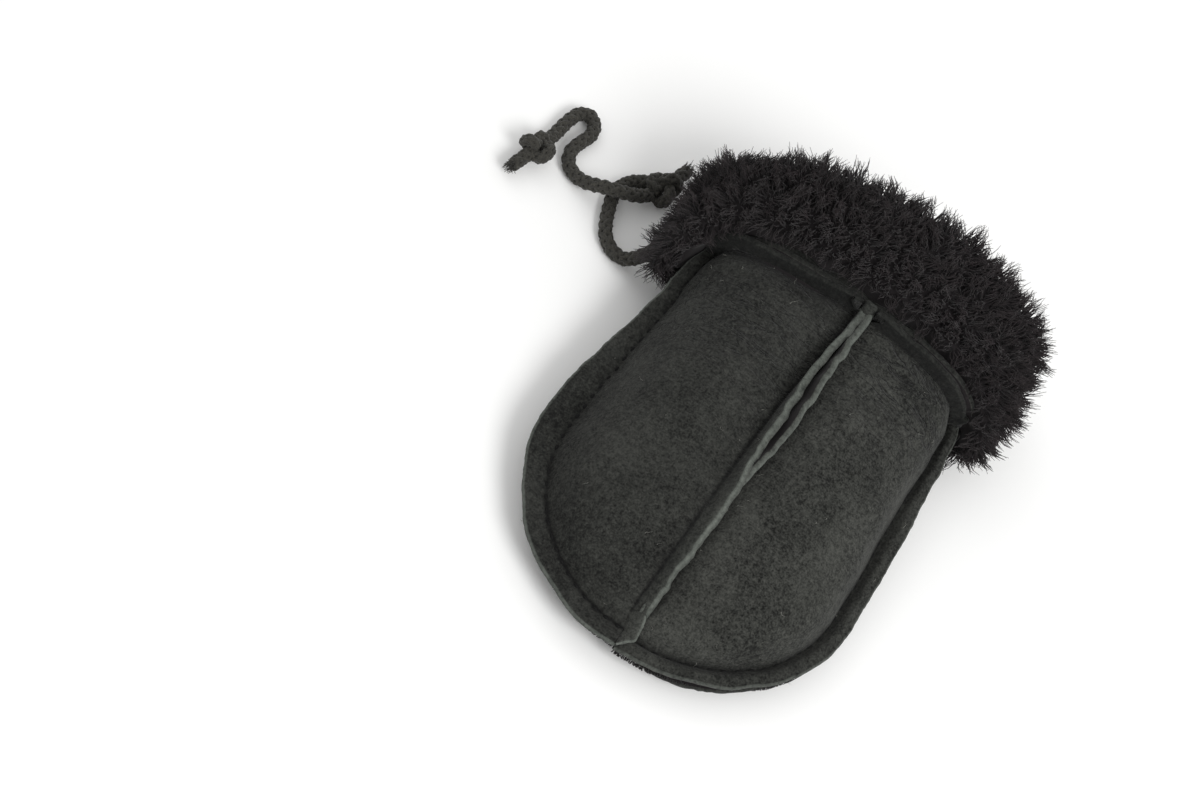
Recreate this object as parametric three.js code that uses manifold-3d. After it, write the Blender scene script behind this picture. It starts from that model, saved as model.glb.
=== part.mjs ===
// A baby's sheepskin mitten: suede outside, wool inside, with a deep fur cuff and its joining cord.
// Millimetres, +Z up. The fingertips point along -Y, the hand goes in from +Y, and the palm lies on Z = 0.
import * as THREE from 'three';
import Module from 'manifold-3d';
import { mergeVertices } from 'three/addons/utils/BufferGeometryUtils.js';

// Driving dimensions of the hand part
const bodyLength = 106;      // cuff seam to the turned-out edge at the fingertips
const bodyWidth = 90;        // across the turned-out side edges, at the widest
const backHeight = 34;       // floor to the back's centre seam, at the cuff seam
const sideHeight = 17;       // floor to the side seam, at the cuff seam
const palmRise = 8;          // floor to the palm at the cuff seam, where fur lifts it
const seamFromOrigin = 36;   // cuff seam's place along Y, from the middle of the mitten

// Driving dimensions of the skin and its seams
const skin = 2.4;            // suede with the wool shorn close to it
const lipSkin = 1.5;         // the same, pressed thin by the stitching of a turned-out seam
const seamGap = 0.3;         // left between the two skins of a seam
const sideLip = 5;           // how far the side seam's edges stand out
const centreLip = 4;         // height of the centre seam's edges
const cuffLip = 4.2;         // height of the hand part's edge at the cuff seam
const bandLip = 3.6;         // height of the cuff's own edge behind it
const grooveDepth = 2.2;     // how far the centre stitching pulls the back down
const grooveReach = 6;       // how far that groove spreads to each side
const foldStep = 1.9;        // rise of the left edge's foot where it is folded over the right one
const foldReach = 2.5;       // how far that rise spreads to each side
const flapPast = 5;          // how far the left edge's end lies over the side seam at the fingertips
const restDepth = 0.7;       // how much the palm is pressed flat where it rests

// Driving dimensions of the cuff
const bandLength = 23;       // suede tube behind the cuff seam, to the mouth
const bandFlare = 2;         // how much the tube widens towards the mouth, all round
const mouthSlant = 0.13;     // share by which the cuff is longer at its right edge, and shorter at its left
const furDepth = 9.5;        // wool on the outside of the tube
const furInside = 3;         // wool turned in at the mouth
const furTurn = 9;           // how far the wool reaches into the mouth
const furPast = 6;           // how far the roll stands past the tube's edge
const furSpread = 2.4;       // how much deeper the wool lies at the sides, where it sags towards the floor
const lockHeight = 2.6;      // how far a lock of wool stands over the hollow beside it

// Driving dimensions of the cord and its knots
const cordDiameter = 4;
const cordStep = 3.2;        // distance between the cord's rings, short enough for its tight bends
const knotRing = 2.9;        // radius of each turn of cord in a knot
const tailSpread = 1.35;     // how much wider than the cord a knot's cut end frays
const turnsTilt = [[0, 0], [1.2, 0.3], [-0.9, 1.1]];  // radians by which each turn leans, about X and Z

// Route of the loop: out of the side seam, down to the floor, round and into its knot
const loopRoute = [
  [-43.1, 33, 17], [-44.8, 33, 17], [-48.6, 31.8, 13.4], [-51.6, 30, 7.2], [-55, 28.5, 3], [-59, 28.8, 2.1],
  [-62.9, 31.5, 2.1], [-65.4, 35.9, 2.1], [-67, 40, 2.1], [-68, 43.8, 2.1], [-68, 47.6, 2.1],
  [-66.2, 51, 2.4], [-62.6, 53.2, 3.6],
];

// Route of the lead: from the knot, over the loop, along the floor and round a tight bend to the end knot
const leadRoute = [
  [-60.4, 50, 3.6], [-62.2, 46.6, 5], [-65, 43.6, 6.5], [-68.4, 41.9, 6.7], [-71.8, 41.2, 5.4],
  [-75.2, 41, 3.5], [-78.6, 41.5, 2.3], [-82.2, 43.4, 2.1], [-84.1, 47.6, 2.1], [-83.4, 52.6, 2.1],
  [-82.7, 55.6, 2.1], [-83.6, 58.9, 2.1], [-86.2, 60.8, 2.1], [-88.8, 59.2, 2.1], [-89.8, 55.5, 2.1],
  [-90.1, 51.4, 2.1], [-90.4, 47.6, 2.3], [-90.8, 44.6, 3.2],
];
const knotPlace = [-58.6, 53.4, 4.8];
const knotTail = [-56.6, 63, 4.4];
const endKnotPlace = [-91, 40.4, 4.8];
const endKnotTail = [-93.4, 31.6, 3.2];

// Hand part from the cuff seam (0) to the fingertips (1): shares of bodyLength, of half the bodyWidth,
// of backHeight, of sideHeight and of palmRise, and the roundness of the palm's edge
const bodySections = [
  { along: 0.00, width: 0.95, back: 1.00, side: 1.00, palm: 1.00, round: 2.3 },
  { along: 0.18, width: 0.955, back: 0.98, side: 0.80, palm: 0.55, round: 2.6 },
  { along: 0.40, width: 0.985, back: 0.91, side: 0.60, palm: 0.00, round: 3.2 },
  { along: 0.66, width: 1.00, back: 0.76, side: 0.47, palm: 0.00, round: 3.6 },
  { along: 0.86, width: 0.98, back: 0.52, side: 0.42, palm: 0.00, round: 3.2 },
  { along: 1.00, width: 0.96, back: 0.32, side: 0.40, palm: 0.00, round: 2.8 },
];

// Centre seam's two edges: the lean of each towards +X in degrees, their heights as shares of centreLip,
// how far the left one climbs over the right one as a share of foldStep, and the groove's depth as a
// share of grooveDepth
const centreSeamFolds = [
  { along: 0.00, left: -4, right: 8, leftTall: 0.6, rightTall: 0.6, climb: 0.0, groove: 0.3 },
  { along: 0.20, left: -14, right: 24, leftTall: 1.0, rightTall: 1.0, climb: 0.0, groove: 1.0 },
  { along: 0.42, left: -2, right: 32, leftTall: 1.0, rightTall: 0.8, climb: 0.3, groove: 1.0 },
  { along: 0.58, left: 32, right: 24, leftTall: 1.0, rightTall: 0.3, climb: 0.9, groove: 0.9 },
  { along: 1.00, left: 46, right: 20, leftTall: 1.1, rightTall: 0.2, climb: 1.0, groove: 0.3 },
];

// Shares and roundnesses of the outline; a roundness of 2 would be an ellipse
const tipStart = 0.60;       // share of bodyLength where the sides start to round in
const centreEnd = 0.92;      // share of bodyLength where the centre seam's foot meets the tip's seam
const palmEnd = 0.78;        // share of bodyLength up to where the palm is flat along its middle
const cornerShare = 0.3;     // how much of the centre seam's edge carries on into the cuff seam's
const tipRoundness = 2.02;
const backRoundness = 2.3;

// Rows and columns of the faces
const acrossBack = [0, 0.08, 0.18, 0.30, 0.43, 0.56, 0.69, 0.81, 0.91, 0.97, 1];
const acrossPalm = [0, 0.25, 0.5, 0.7, 0.82, 0.91, 0.97, 1];
const straightRows = [0, 0.09, 0.2, 0.32, 0.45, 0.58, 0.72, 0.86];
const tipRows = [0, 12, 24, 35, 45, 54, 63, 72, 81, 90];
const ringColumns = 48;
const furRows = { outside: 8, edge: 3, inside: 3 };

function column(table, name) {
  const places = table.map((row) => row.along);
  const values = table.map((row) => row[name]);
  const smooth = new THREE.CubicInterpolant(places, values, 1, new Float32Array(1));
  return (share) => smooth.evaluate(THREE.MathUtils.clamp(share, 0, 1))[0];
}

const widthAt = column(bodySections, 'width');
const backAt = column(bodySections, 'back');
const sideAt = column(bodySections, 'side');
const palmAt = column(bodySections, 'palm');
const roundAt = column(bodySections, 'round');
const leanAt = { left: column(centreSeamFolds, 'left'), right: column(centreSeamFolds, 'right') };
const tallAt = { left: column(centreSeamFolds, 'leftTall'), right: column(centreSeamFolds, 'rightTall') };
const climbAt = column(centreSeamFolds, 'climb');
const grooveAt = column(centreSeamFolds, 'groove');

function dome(share, roundness) {
  return Math.pow(Math.max(0, 1 - Math.pow(share, roundness)), 1 / roundness);
}

// Rows of the hand part: shares of bodyLength where each meets the outline, the back's centre seam
// and the palm's middle, and the outline's distance from the middle
const bodyRows = [];
for (const share of straightRows) {
  const along = share * tipStart;
  const halfWidth = widthAt(along) * bodyWidth / 2;
  bodyRows.push({ sideShare: along, centreShare: along, palmShare: along, halfWidth });
}
for (const degrees of tipRows) {
  const turn = THREE.MathUtils.degToRad(degrees);
  const forward = Math.pow(Math.sin(turn), 2 / tipRoundness);
  const narrow = Math.pow(Math.max(0, Math.cos(turn)), 2 / tipRoundness);
  const sideShare = tipStart + (1 - tipStart) * forward;
  const centreShare = THREE.MathUtils.lerp(tipStart, centreEnd, degrees / 90);
  const palmShare = THREE.MathUtils.lerp(tipStart, palmEnd, degrees / 90);
  const halfWidth = degrees < 90 ? widthAt(tipStart) * bodyWidth / 2 * narrow : 0;
  bodyRows.push({ sideShare, centreShare, palmShare, halfWidth });
}

const seamY = seamFromOrigin;
const outline = bodyRows.map((row) => new THREE.Vector2(row.halfWidth, seamY - row.sideShare * bodyLength));
const outlineOut = outline.map((point, index) => {
  if (index === outline.length - 1) return new THREE.Vector2(0, -1);
  const before = outline[Math.max(0, index - 1)];
  const after = outline[index + 1];
  const run = after.clone().sub(before).normalize();
  return new THREE.Vector2(-run.y, run.x);
});

// Side seam's stitch line, right-hand side: the outline less the turned-out edge
const stitchLine = outline.map((point, index) => point.clone().addScaledVector(outlineOut[index], -sideLip));

// Grid of the faces' normals, from the neighbours of each point
function gridNormals(grid, round, towards) {
  return grid.map((line, row) => line.map((point, col) => {
    const last = line.length - 1;
    const before = round ? line[(col + last) % line.length] : line[Math.max(0, col - 1)];
    const after = round ? line[(col + 1) % line.length] : line[Math.min(last, col + 1)];
    const above = grid[Math.max(0, row - 1)][col];
    const below = grid[Math.min(grid.length - 1, row + 1)][col];
    const across = after.clone().sub(before);
    const along = below.clone().sub(above);
    return across.cross(along).normalize().multiplyScalar(towards);
  }));
}

// Inner face: a skin's thickness in along the smooth grid's normals, or the step that a seam's edge gives.
// An open grid's last row lies in the plane of its middle, and its steps stay in that plane
function insetGrid(grid, smooth, round, towards, steps) {
  const normals = gridNormals(smooth, round, towards);
  return grid.map((line, row) => line.map((point, col) => {
    const step = steps(row, col) || normals[row][col].clone().multiplyScalar(-skin);
    if (!round && row === grid.length - 1) step.x = 0;
    return point.clone().add(step);
  }));
}

// Closed body between two grids of points. A round one joins its last column to its first. One with a
// sewn end has both halves of its last row in one place, so no edge closes that row. With locks, every
// second point of the outer grid is a lock's tip, and the hollows between tips are joined
function sheetSolid(outer, inner, { round = false, sewnEnd = false, locks = false } = {}) {
  const rows = outer.length;
  const cols = outer[0].length;
  const at = (layer, row, col) => (layer * rows + row) * cols + (col % cols);
  const faces = [];
  const quad = (a, b, c, d) => faces.push(a, b, c, a, c, d);
  const isTip = (row, col) => locks && (row + col) % 2 === 0;
  const spans = round ? cols : cols - 1;
  const lastRow = rows - 1;
  for (let col = 0; col < spans; col++) {
    for (let row = 0; row < lastRow; row++) {
      const corners = [at(0, row, col), at(0, row, col + 1), at(0, row + 1, col + 1), at(0, row + 1, col)];
      quad(...(isTip(row, col) ? [...corners.slice(1), corners[0]] : corners));
      quad(at(1, row, col), at(1, row + 1, col), at(1, row + 1, col + 1), at(1, row, col + 1));
    }
    quad(at(1, 0, col), at(1, 0, col + 1), at(0, 0, col + 1), at(0, 0, col));
    if (sewnEnd) continue;
    quad(at(0, lastRow, col), at(0, lastRow, col + 1), at(1, lastRow, col + 1), at(1, lastRow, col));
  }
  if (!round) {
    const edge = cols - 1;
    for (let row = 0; row < lastRow; row++) {
      quad(at(0, row, 0), at(0, row + 1, 0), at(1, row + 1, 0), at(1, row, 0));
      quad(at(1, row, edge), at(1, row + 1, edge), at(0, row + 1, edge), at(0, row, edge));
    }
  }
  return closedGeometry([...outer.flat(), ...inner.flat()], faces);
}

// Closed geometry with its faces turned outwards, whichever way the grid ran
function closedGeometry(points, faces) {
  let volume = 0;
  for (let i = 0; i < faces.length; i += 3) {
    const [a, b, c] = [points[faces[i]], points[faces[i + 1]], points[faces[i + 2]]];
    volume += a.dot(b.clone().cross(c));
  }
  const turned = volume < 0 ? faces.slice().reverse() : faces;
  const geometry = new THREE.BufferGeometry();
  geometry.setAttribute('position', new THREE.Float32BufferAttribute(points.flatMap((p) => p.toArray()), 3));
  geometry.setIndex(turned);
  return mergeVertices(geometry, seamGap / 100);
}

// Back's outer face at a row, a share of the way from the centre seam to the side stitching;
// creased is 1 with the centre seam's groove and 0 without it
function backPoint(index, share, side, creased) {
  const row = bodyRows[index];
  const foot = stitchLine[index];
  const centreX = seamGap / 2 + lipSkin;
  const centreY = seamY - row.centreShare * bodyLength;
  const sideZ = sideAt(row.sideShare) * sideHeight + seamGap / 2 + lipSkin;
  const centreZ = backAt(row.centreShare) * backHeight;
  const x = THREE.MathUtils.lerp(centreX, Math.max(foot.x, seamGap / 2), share);
  const y = THREE.MathUtils.lerp(centreY, foot.y, share);
  const fromSeam = Math.hypot(x - centreX, y - centreY);
  const groove = grooveDepth * grooveAt(row.centreShare) * Math.exp(-Math.pow(fromSeam / grooveReach, 2));
  const climb = foldStep / 2 * climbAt(row.centreShare) * Math.exp(-Math.pow(fromSeam / foldReach, 2));
  const crease = (groove + side * climb) * (1 - share) * creased;
  const z = sideZ + (centreZ - sideZ) * dome(share, backRoundness) - crease;
  return new THREE.Vector3(side * x, y, z);
}

// Palm's outer face, a share of the way from its middle to the side stitching
function palmPoint(index, share, side) {
  const row = bodyRows[index];
  const foot = stitchLine[index];
  const sideZ = sideAt(row.sideShare) * sideHeight - seamGap / 2 - lipSkin;
  const lowZ = palmAt(row.palmShare) * palmRise - restDepth;
  const x = THREE.MathUtils.lerp(0, foot.x, share);
  const y = THREE.MathUtils.lerp(seamY - row.palmShare * bodyLength, foot.y, share);
  const z = sideZ + (lowZ - sideZ) * dome(share, roundAt(row.sideShare));
  return new THREE.Vector3(side * x, y, Math.max(0, z));
}

// Outward direction, in the plane of the cuff seam, of the first row of a grid
function firstRowOut(line, upwards) {
  return line.map((point, col) => {
    const before = line[Math.max(0, col - 1)];
    const after = line[Math.min(line.length - 1, col + 1)];
    const run = after.clone().sub(before).setY(0).normalize();
    const out = new THREE.Vector3(-run.z, 0, run.x);
    return Math.sign(out.z) === Math.sign(upwards) ? out : out.negate();
  });
}

// Adds the cuff seam's edge as a row before the first one
function withCuffLip(grid, upwards) {
  const outs = firstRowOut(grid[0], upwards);
  const lip = grid[0].map((point, col) => point.clone().addScaledVector(outs[col], cuffLip));
  for (const point of lip) point.y += lipSkin / 2;
  lip[0].copy(lip[1]).addScaledVector(grid[0][0].clone().sub(grid[0][1]), cornerShare);
  return [lip, ...grid];
}

const alongY = (size) => new THREE.Vector3(0, size, 0);
const alongZ = (size) => new THREE.Vector3(0, 0, size);

function backGrid(side, creased) {
  const which = side < 0 ? 'left' : 'right';
  const grid = bodyRows.map((row, index) => {
    const line = acrossBack.map((share) => backPoint(index, share, side, creased));
    const lean = THREE.MathUtils.degToRad(leanAt[which](row.centreShare));
    const tall = tallAt[which](row.centreShare) * centreLip;
    const edge = line[0].clone();
    edge.x += Math.sin(lean) * tall;
    edge.z += Math.cos(lean) * tall;
    return [edge, ...line, sideRim(line, index, side)];
  });
  for (const point of grid[0]) point.y -= seamGap / 2 + lipSkin;
  if (side < 0) grid[grid.length - 1][0].y -= flapPast;
  return withCuffLip(grid, 1);
}

function backPanel(side) {
  const which = side < 0 ? 'left' : 'right';
  const grid = backGrid(side, 1);
  const steps = (row, col) => {
    if (row < 2) return alongY(lipSkin);
    if (col > acrossBack.length - 1) return alongZ(-lipSkin);
    if (col > 1) return null;
    const lean = THREE.MathUtils.degToRad(leanAt[which](bodyRows[row - 1].centreShare));
    return new THREE.Vector3(Math.cos(lean), 0, -Math.sin(lean)).multiplyScalar(-side * lipSkin);
  };
  return sheetSolid(grid, insetGrid(grid, backGrid(side, 0), false, -side, steps));
}

// Turned-out edge of the side seam, beyond the last point of a line
function sideRim(line, index, side) {
  const rim = line[line.length - 1].clone();
  rim.x += side * outlineOut[index].x * sideLip;
  rim.y += outlineOut[index].y * sideLip;
  return rim;
}

function palmPanel() {
  const grid = bodyRows.map((row, index) => {
    const half = (side) => {
      const line = acrossPalm.map((share) => palmPoint(index, share, side));
      return [...line, sideRim(line, index, side)];
    };
    return [...half(-1).reverse(), ...half(1).slice(1)];
  });
  for (const point of grid[0]) point.y -= seamGap / 2 + lipSkin;
  const full = withCuffLip(grid, -1);
  const lastCol = full[0].length - 1;
  const steps = (row, col) => {
    if (row < 2) return alongY(lipSkin);
    return col < 2 || col > lastCol - 2 ? alongZ(lipSkin) : null;
  };
  return sheetSolid(full, insetGrid(full, full, false, 1, steps), { sewnEnd: true });
}

// Outer face of the tube at the cuff seam, all round, and its outward direction
const ring = [];
for (let col = 0; col < ringColumns; col++) {
  const turn = 2 * Math.PI * (col + 0.5) / ringColumns;
  const rise = Math.sin(turn) > 0 ? backHeight - sideHeight : sideHeight - palmRise;
  const power = 2 / backRoundness;
  const x = stitchLine[0].x * Math.sign(Math.cos(turn)) * Math.pow(Math.abs(Math.cos(turn)), power);
  const z = sideHeight + rise * Math.sign(Math.sin(turn)) * Math.pow(Math.abs(Math.sin(turn)), power);
  ring.push({ x, z });
}
for (const [col, place] of ring.entries()) {
  const before = ring[(col + ringColumns - 1) % ringColumns];
  const after = ring[(col + 1) % ringColumns];
  const run = new THREE.Vector2(after.x - before.x, after.z - before.z).normalize();
  place.out = { x: run.y, z: -run.x };
}

// A point of the cuff: back from the cuff seam, and out from the tube's outer face
function cuffPoint(col, back, out) {
  const place = ring[col % ringColumns];
  const flare = bandFlare * THREE.MathUtils.clamp(back / bandLength, 0, 1);
  const reach = out + flare;
  const x = place.x + place.out.x * reach;
  const slant = mouthSlant * Math.max(0, back - 2 * lipSkin) * place.x / ring[0].x;
  return new THREE.Vector3(x, seamY + back + slant, place.z + place.out.z * reach);
}

const allRound = (back, out) => ring.map((place, col) => cuffPoint(col, back, out));

// Suede tube behind the cuff seam, with the seam's own edge standing round its front
function cuffBand() {
  const foot = seamGap / 2 + lipSkin;
  const lip = allRound(foot + lipSkin / 2, bandLip);
  const tube = [0, 0.25, 0.5, 0.75, 1].map((share) => allRound(foot + share * (bandLength - foot), 0));
  const grid = [lip, ...tube];
  const steps = (row) => (row < 2 ? alongY(-lipSkin) : null);
  return sheetSolid(grid, insetGrid(grid, grid, true, -1, steps), { round: true });
}

// Same draws on each run, from 0 to 1
function seeded(seed) {
  let state = seed;
  return () => {
    state = (state * 16807) % 2147483647;
    return state / 2147483647;
  };
}

// Wool over the tube and into its mouth, in locks; it is pressed flat where it meets the floor
function cuffFur() {
  const front = seamGap * 1.5 + lipSkin * 1.5;
  const deep = skin + furInside;
  const roll = new THREE.Path();
  roll.moveTo(front, cuffLip);
  roll.bezierCurveTo(front - 2.5, furDepth * 0.9, front + 1, furDepth * 1.04, front + 6, furDepth * 1.08);
  roll.lineTo(bandLength - 2, furDepth * 1.08);
  const past = bandLength + furPast;
  roll.bezierCurveTo(past - 2, furDepth * 1.04, past, furDepth * 0.5, past, 0);
  roll.bezierCurveTo(past, -deep * 0.7, past - furPast / 2, -deep, bandLength - 1, -deep);
  roll.lineTo(bandLength - furTurn, -deep);
  const lastRow = furRows.outside + furRows.edge + furRows.inside;
  const path = roll.getSpacedPoints(lastRow);
  const draw = seeded(7);
  const outer = path.map((place, row) => ring.map((spot, col) => {
    const atEnd = row === 0 || row === lastRow;
    const isLock = (row + col) % 2 === 0;
    const tall = atEnd ? 0 : lockHeight * (isLock ? 0.5 + 0.5 * draw() : -0.2);
    const before = path[Math.max(0, row - 1)];
    const after = path[Math.min(lastRow, row + 1)];
    const run = after.clone().sub(before).normalize();
    const spread = place.y > cuffLip ? furSpread * Math.pow(spot.out.x, 2) : 0;
    const point = cuffPoint(col, place.x - run.y * tall + run.x * tall * 0.5, place.y + spread + run.x * tall);
    return point.setZ(Math.max(0, point.z));
  }));
  const inner = path.map((place, row) => {
    if (row <= furRows.outside) {
      const share = row / furRows.outside;
      return allRound(THREE.MathUtils.lerp(front, bandLength + seamGap, share), seamGap);
    }
    const onEdge = (row - furRows.outside) / furRows.edge;
    const share = Math.max(0, onEdge - 1) * furRows.edge / furRows.inside;
    const back = bandLength + seamGap - share * (furTurn + seamGap);
    return allRound(back, THREE.MathUtils.lerp(seamGap, -skin - seamGap, Math.min(1, onEdge)));
  });
  return sheetSolid(outer, inner, { round: true, locks: true });
}

const wasm = await Module();
wasm.setup();

function toSolid(geometry) {
  const bare = geometry.clone();
  bare.deleteAttribute('normal');
  bare.deleteAttribute('uv');
  const merged = mergeVertices(bare, seamGap / 100);
  const vertProperties = new Float32Array(merged.attributes.position.array);
  const triVerts = new Uint32Array(merged.index.array);
  return new wasm.Manifold(new wasm.Mesh({ numProp: 3, vertProperties, triVerts }));
}

function fromSolid(solid) {
  const { vertProperties, triVerts } = solid.getMesh();
  const geometry = new THREE.BufferGeometry();
  geometry.setAttribute('position', new THREE.BufferAttribute(new Float32Array(vertProperties), 3));
  geometry.setIndex(new THREE.BufferAttribute(new Uint32Array(triVerts), 1));
  return geometry;
}

// Round cord along a route, with the given radius, and each end carried on by some distance
function cordAlong(route, radius, carryOn = 0) {
  const points = route.map((place) => new THREE.Vector3(...place));
  const ends = [[points[0], points[1]], [points.at(-1), points.at(-2)]];
  for (const [end, next] of ends) end.addScaledVector(end.clone().sub(next).normalize(), carryOn);
  const extrudePath = new THREE.CatmullRomCurve3(points, false, 'centripetal');
  const steps = Math.round(extrudePath.getLength() / cordStep);
  const section = new THREE.Shape().absarc(0, 0, radius, 0, 2 * Math.PI);
  return new THREE.ExtrudeGeometry(section, { steps, curveSegments: 4, bevelEnabled: false, extrudePath });
}

// Three tight turns of cord drawn together, with a short frayed end, round the cords that enter it
function knot(place, tail, routes) {
  const centre = new THREE.Vector3(...place);
  const end = new THREE.Vector3(...tail);
  const radius = cordDiameter / 2;
  const away = end.clone().sub(centre);
  const stub = new THREE.CylinderGeometry(radius * tailSpread, radius * 0.9, away.length(), 8);
  const upright = new THREE.Vector3(0, 1, 0);
  stub.applyQuaternion(new THREE.Quaternion().setFromUnitVectors(upright, away.clone().normalize()));
  stub.translate(...centre.clone().addScaledVector(away, 0.5).toArray());
  let solid = toSolid(stub).add(toSolid(new THREE.IcosahedronGeometry(knotRing, 1).translate(...place)));
  for (const [tiltX, tiltY] of turnsTilt) {
    const turn = new THREE.TorusGeometry(knotRing, radius * 0.9, 6, 12).rotateX(tiltX).rotateY(tiltY);
    solid = solid.add(toSolid(turn.translate(...place)));
  }
  for (const route of routes) {
    solid = solid.subtract(toSolid(cordAlong(route, radius + seamGap, seamGap)));
  }
  return fromSolid(solid);
}

const suede = () => new THREE.MeshStandardMaterial({ color: '#222422', roughness: 0.95, metalness: 0 });
const wool = () => new THREE.MeshStandardMaterial({ color: '#17161a', roughness: 1, metalness: 0 });
const braid = () => new THREE.MeshStandardMaterial({ color: '#1c1b18', roughness: 0.9, metalness: 0 });

function piece(name, geometry, material) {
  const mesh = new THREE.Mesh(geometry, material);
  mesh.name = name;
  return mesh;
}

const mitten = new THREE.Group();
mitten.add(piece('back_panel_left', backPanel(-1), suede()));
mitten.add(piece('back_panel_right', backPanel(1), suede()));
mitten.add(piece('palm_panel', palmPanel(), suede()));
mitten.add(piece('cuff_band', cuffBand(), suede()));
mitten.add(piece('cuff_fur', cuffFur(), wool()));
mitten.add(piece('cord_loop', cordAlong(loopRoute, cordDiameter / 2), braid()));
mitten.add(piece('cord_lead', cordAlong(leadRoute, cordDiameter / 2), braid()));
mitten.add(piece('cord_knot', knot(knotPlace, knotTail, [loopRoute, leadRoute]), braid()));
mitten.add(piece('cord_end_knot', knot(endKnotPlace, endKnotTail, [leadRoute]), braid()));

export default mitten;
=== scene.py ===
"""A child's black sheepskin mitten with a wool cuff and a braided cord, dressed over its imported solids."""
import itertools
import math

import bmesh
import bpy
import numpy as np
from mathutils import Matrix, Vector


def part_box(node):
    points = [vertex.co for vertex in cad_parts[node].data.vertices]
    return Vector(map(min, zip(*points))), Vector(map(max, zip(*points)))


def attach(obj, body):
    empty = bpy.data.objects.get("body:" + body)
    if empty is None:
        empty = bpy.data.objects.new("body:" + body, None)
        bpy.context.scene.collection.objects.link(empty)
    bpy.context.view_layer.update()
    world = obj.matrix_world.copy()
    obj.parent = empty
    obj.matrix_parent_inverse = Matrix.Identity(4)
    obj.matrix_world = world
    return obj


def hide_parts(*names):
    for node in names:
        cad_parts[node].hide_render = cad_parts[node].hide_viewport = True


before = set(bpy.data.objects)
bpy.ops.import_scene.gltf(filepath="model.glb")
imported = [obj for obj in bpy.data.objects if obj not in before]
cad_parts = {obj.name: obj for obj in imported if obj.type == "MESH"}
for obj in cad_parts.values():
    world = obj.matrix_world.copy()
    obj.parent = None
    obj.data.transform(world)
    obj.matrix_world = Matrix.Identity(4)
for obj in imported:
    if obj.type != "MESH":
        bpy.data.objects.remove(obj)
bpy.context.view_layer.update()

MM = 0.001

# Camera

# The photograph looks down on the back of the hand, with the fingertips at the lower left
CAMERA_AIM = Vector((-37.6, -19.8, 15)) * MM
CAMERA_FROM = Vector((-12.4, -382.4, 553.9)) * MM
CAMERA_ROLL = math.radians(32.59)
CAMERA_LENS = 79.74


def rolled_camera(start, aim, roll, lens):
    forward = (aim - start).normalized()
    level = forward.cross(Vector((0, 0, 1))).normalized()
    upright = level.cross(forward)
    right = level * math.cos(roll) + upright * math.sin(roll)
    up = upright * math.cos(roll) - level * math.sin(roll)
    data = bpy.data.cameras.new("camera")
    data.lens = lens
    data.sensor_width = 36
    data.clip_start, data.clip_end = 0.02, 10
    camera = bpy.data.objects.new("camera", data)
    turned = Matrix((right, up, -forward)).transposed().to_4x4()
    camera.matrix_world = Matrix.Translation(start) @ turned
    bpy.context.scene.collection.objects.link(camera)
    bpy.context.scene.camera = camera


rolled_camera(CAMERA_FROM, CAMERA_AIM, CAMERA_ROLL, CAMERA_LENS)

# Nodes


def add(tree, kind, inputs=None, **settings):
    """Adds a node with its settings. inputs are values or sockets, by the name or place of the input"""
    node = tree.nodes.new(kind)
    for name, value in settings.items():
        setattr(node, name, value)
    for key, value in (inputs or {}).items():
        shown = [socket for socket in node.inputs if socket.enabled]
        socket = shown[key] if isinstance(key, int) else next(s for s in shown if s.name == key)
        if isinstance(value, bpy.types.NodeSocket):
            tree.links.new(value, socket)
        else:
            socket.default_value = value
    return node


def out(node, name=0):
    """A node's output that is in use, by its name or place"""
    shown = [socket for socket in node.outputs if socket.enabled]
    return shown[name] if isinstance(name, int) else next(s for s in shown if s.name == name)


def colour(code):
    """An sRGB hex code as linear red, green, blue and alpha"""
    parts = [int(code[i:i + 2], 16) / 255 for i in (1, 3, 5)]
    return (*(p / 12.92 if p <= 0.04045 else ((p + 0.055) / 1.055) ** 2.4 for p in parts), 1.0)


def node_group(name, inputs):
    """A geometry node tree with named inputs of the given socket kinds, and its input node"""
    tree = bpy.data.node_groups.new(name, "GeometryNodeTree")
    tree.interface.new_socket(name="Geometry", in_out="INPUT", socket_type="NodeSocketGeometry")
    for label, kind in inputs.items():
        tree.interface.new_socket(name=label, in_out="INPUT", socket_type="NodeSocket" + kind)
    tree.interface.new_socket(name="Geometry", in_out="OUTPUT", socket_type="NodeSocketGeometry")
    return tree, tree.nodes.new("NodeGroupInput")


def grown(name, base, tree, values):
    """The plain mesh that a node tree gives on a base object, which is then taken away"""
    modifier = base.modifiers.new(name, "NODES")
    modifier.node_group = tree
    for item in tree.interface.items_tree:
        if item.in_out == "INPUT" and item.name in values:
            modifier[item.identifier] = values[item.name]
    seen = base.evaluated_get(bpy.context.evaluated_depsgraph_get())
    mesh = bpy.data.meshes.new_from_object(seen)
    mesh.name = name
    piece = bpy.data.objects.new(name, mesh)
    bpy.context.scene.collection.objects.link(piece)
    bpy.data.objects.remove(base)
    return piece


# Materials

def new_material(name):
    material = bpy.data.materials.new(name)
    material.use_nodes = True
    tree = material.node_tree
    return material, tree, tree.nodes["Principled BSDF"]


def per_mm(size):
    """A texture's scale, so that its features are about size mm apart"""
    return 1 / (size * MM)


# Sheepskin suede, buffed on the flesh side: matte, speckled by its short nap, mottled where the nap lies
# differently, finely creased where it is drawn in, with painted shade in the furrows, black where it is
# pressed into a seam, with painted shade in the seams' grooves, in the valley before the cuff seam, under
# the wool, on the palm's edge and over the left panel and the rims, and paler and greyer where its edges are
# cut or rubbed, the inner part of each cut edge darkened as painted shade. A nap's fibres are too fine to
# show, so its speckle is drawn 0.5 to 1.3 mm apart.
# Attributes say where each of these is: worn, creased, and the one for pressed and shaded places
SUEDE_DARK = "#0e0f0d"
SUEDE_PALE = "#464743"
# The black of pressed seams, also used for painted shade and for the painted shade in crease furrows
SUEDE_PRESSED_AND_SHADED = "#080808"
CUT_EDGE = "#7b817a"


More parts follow.
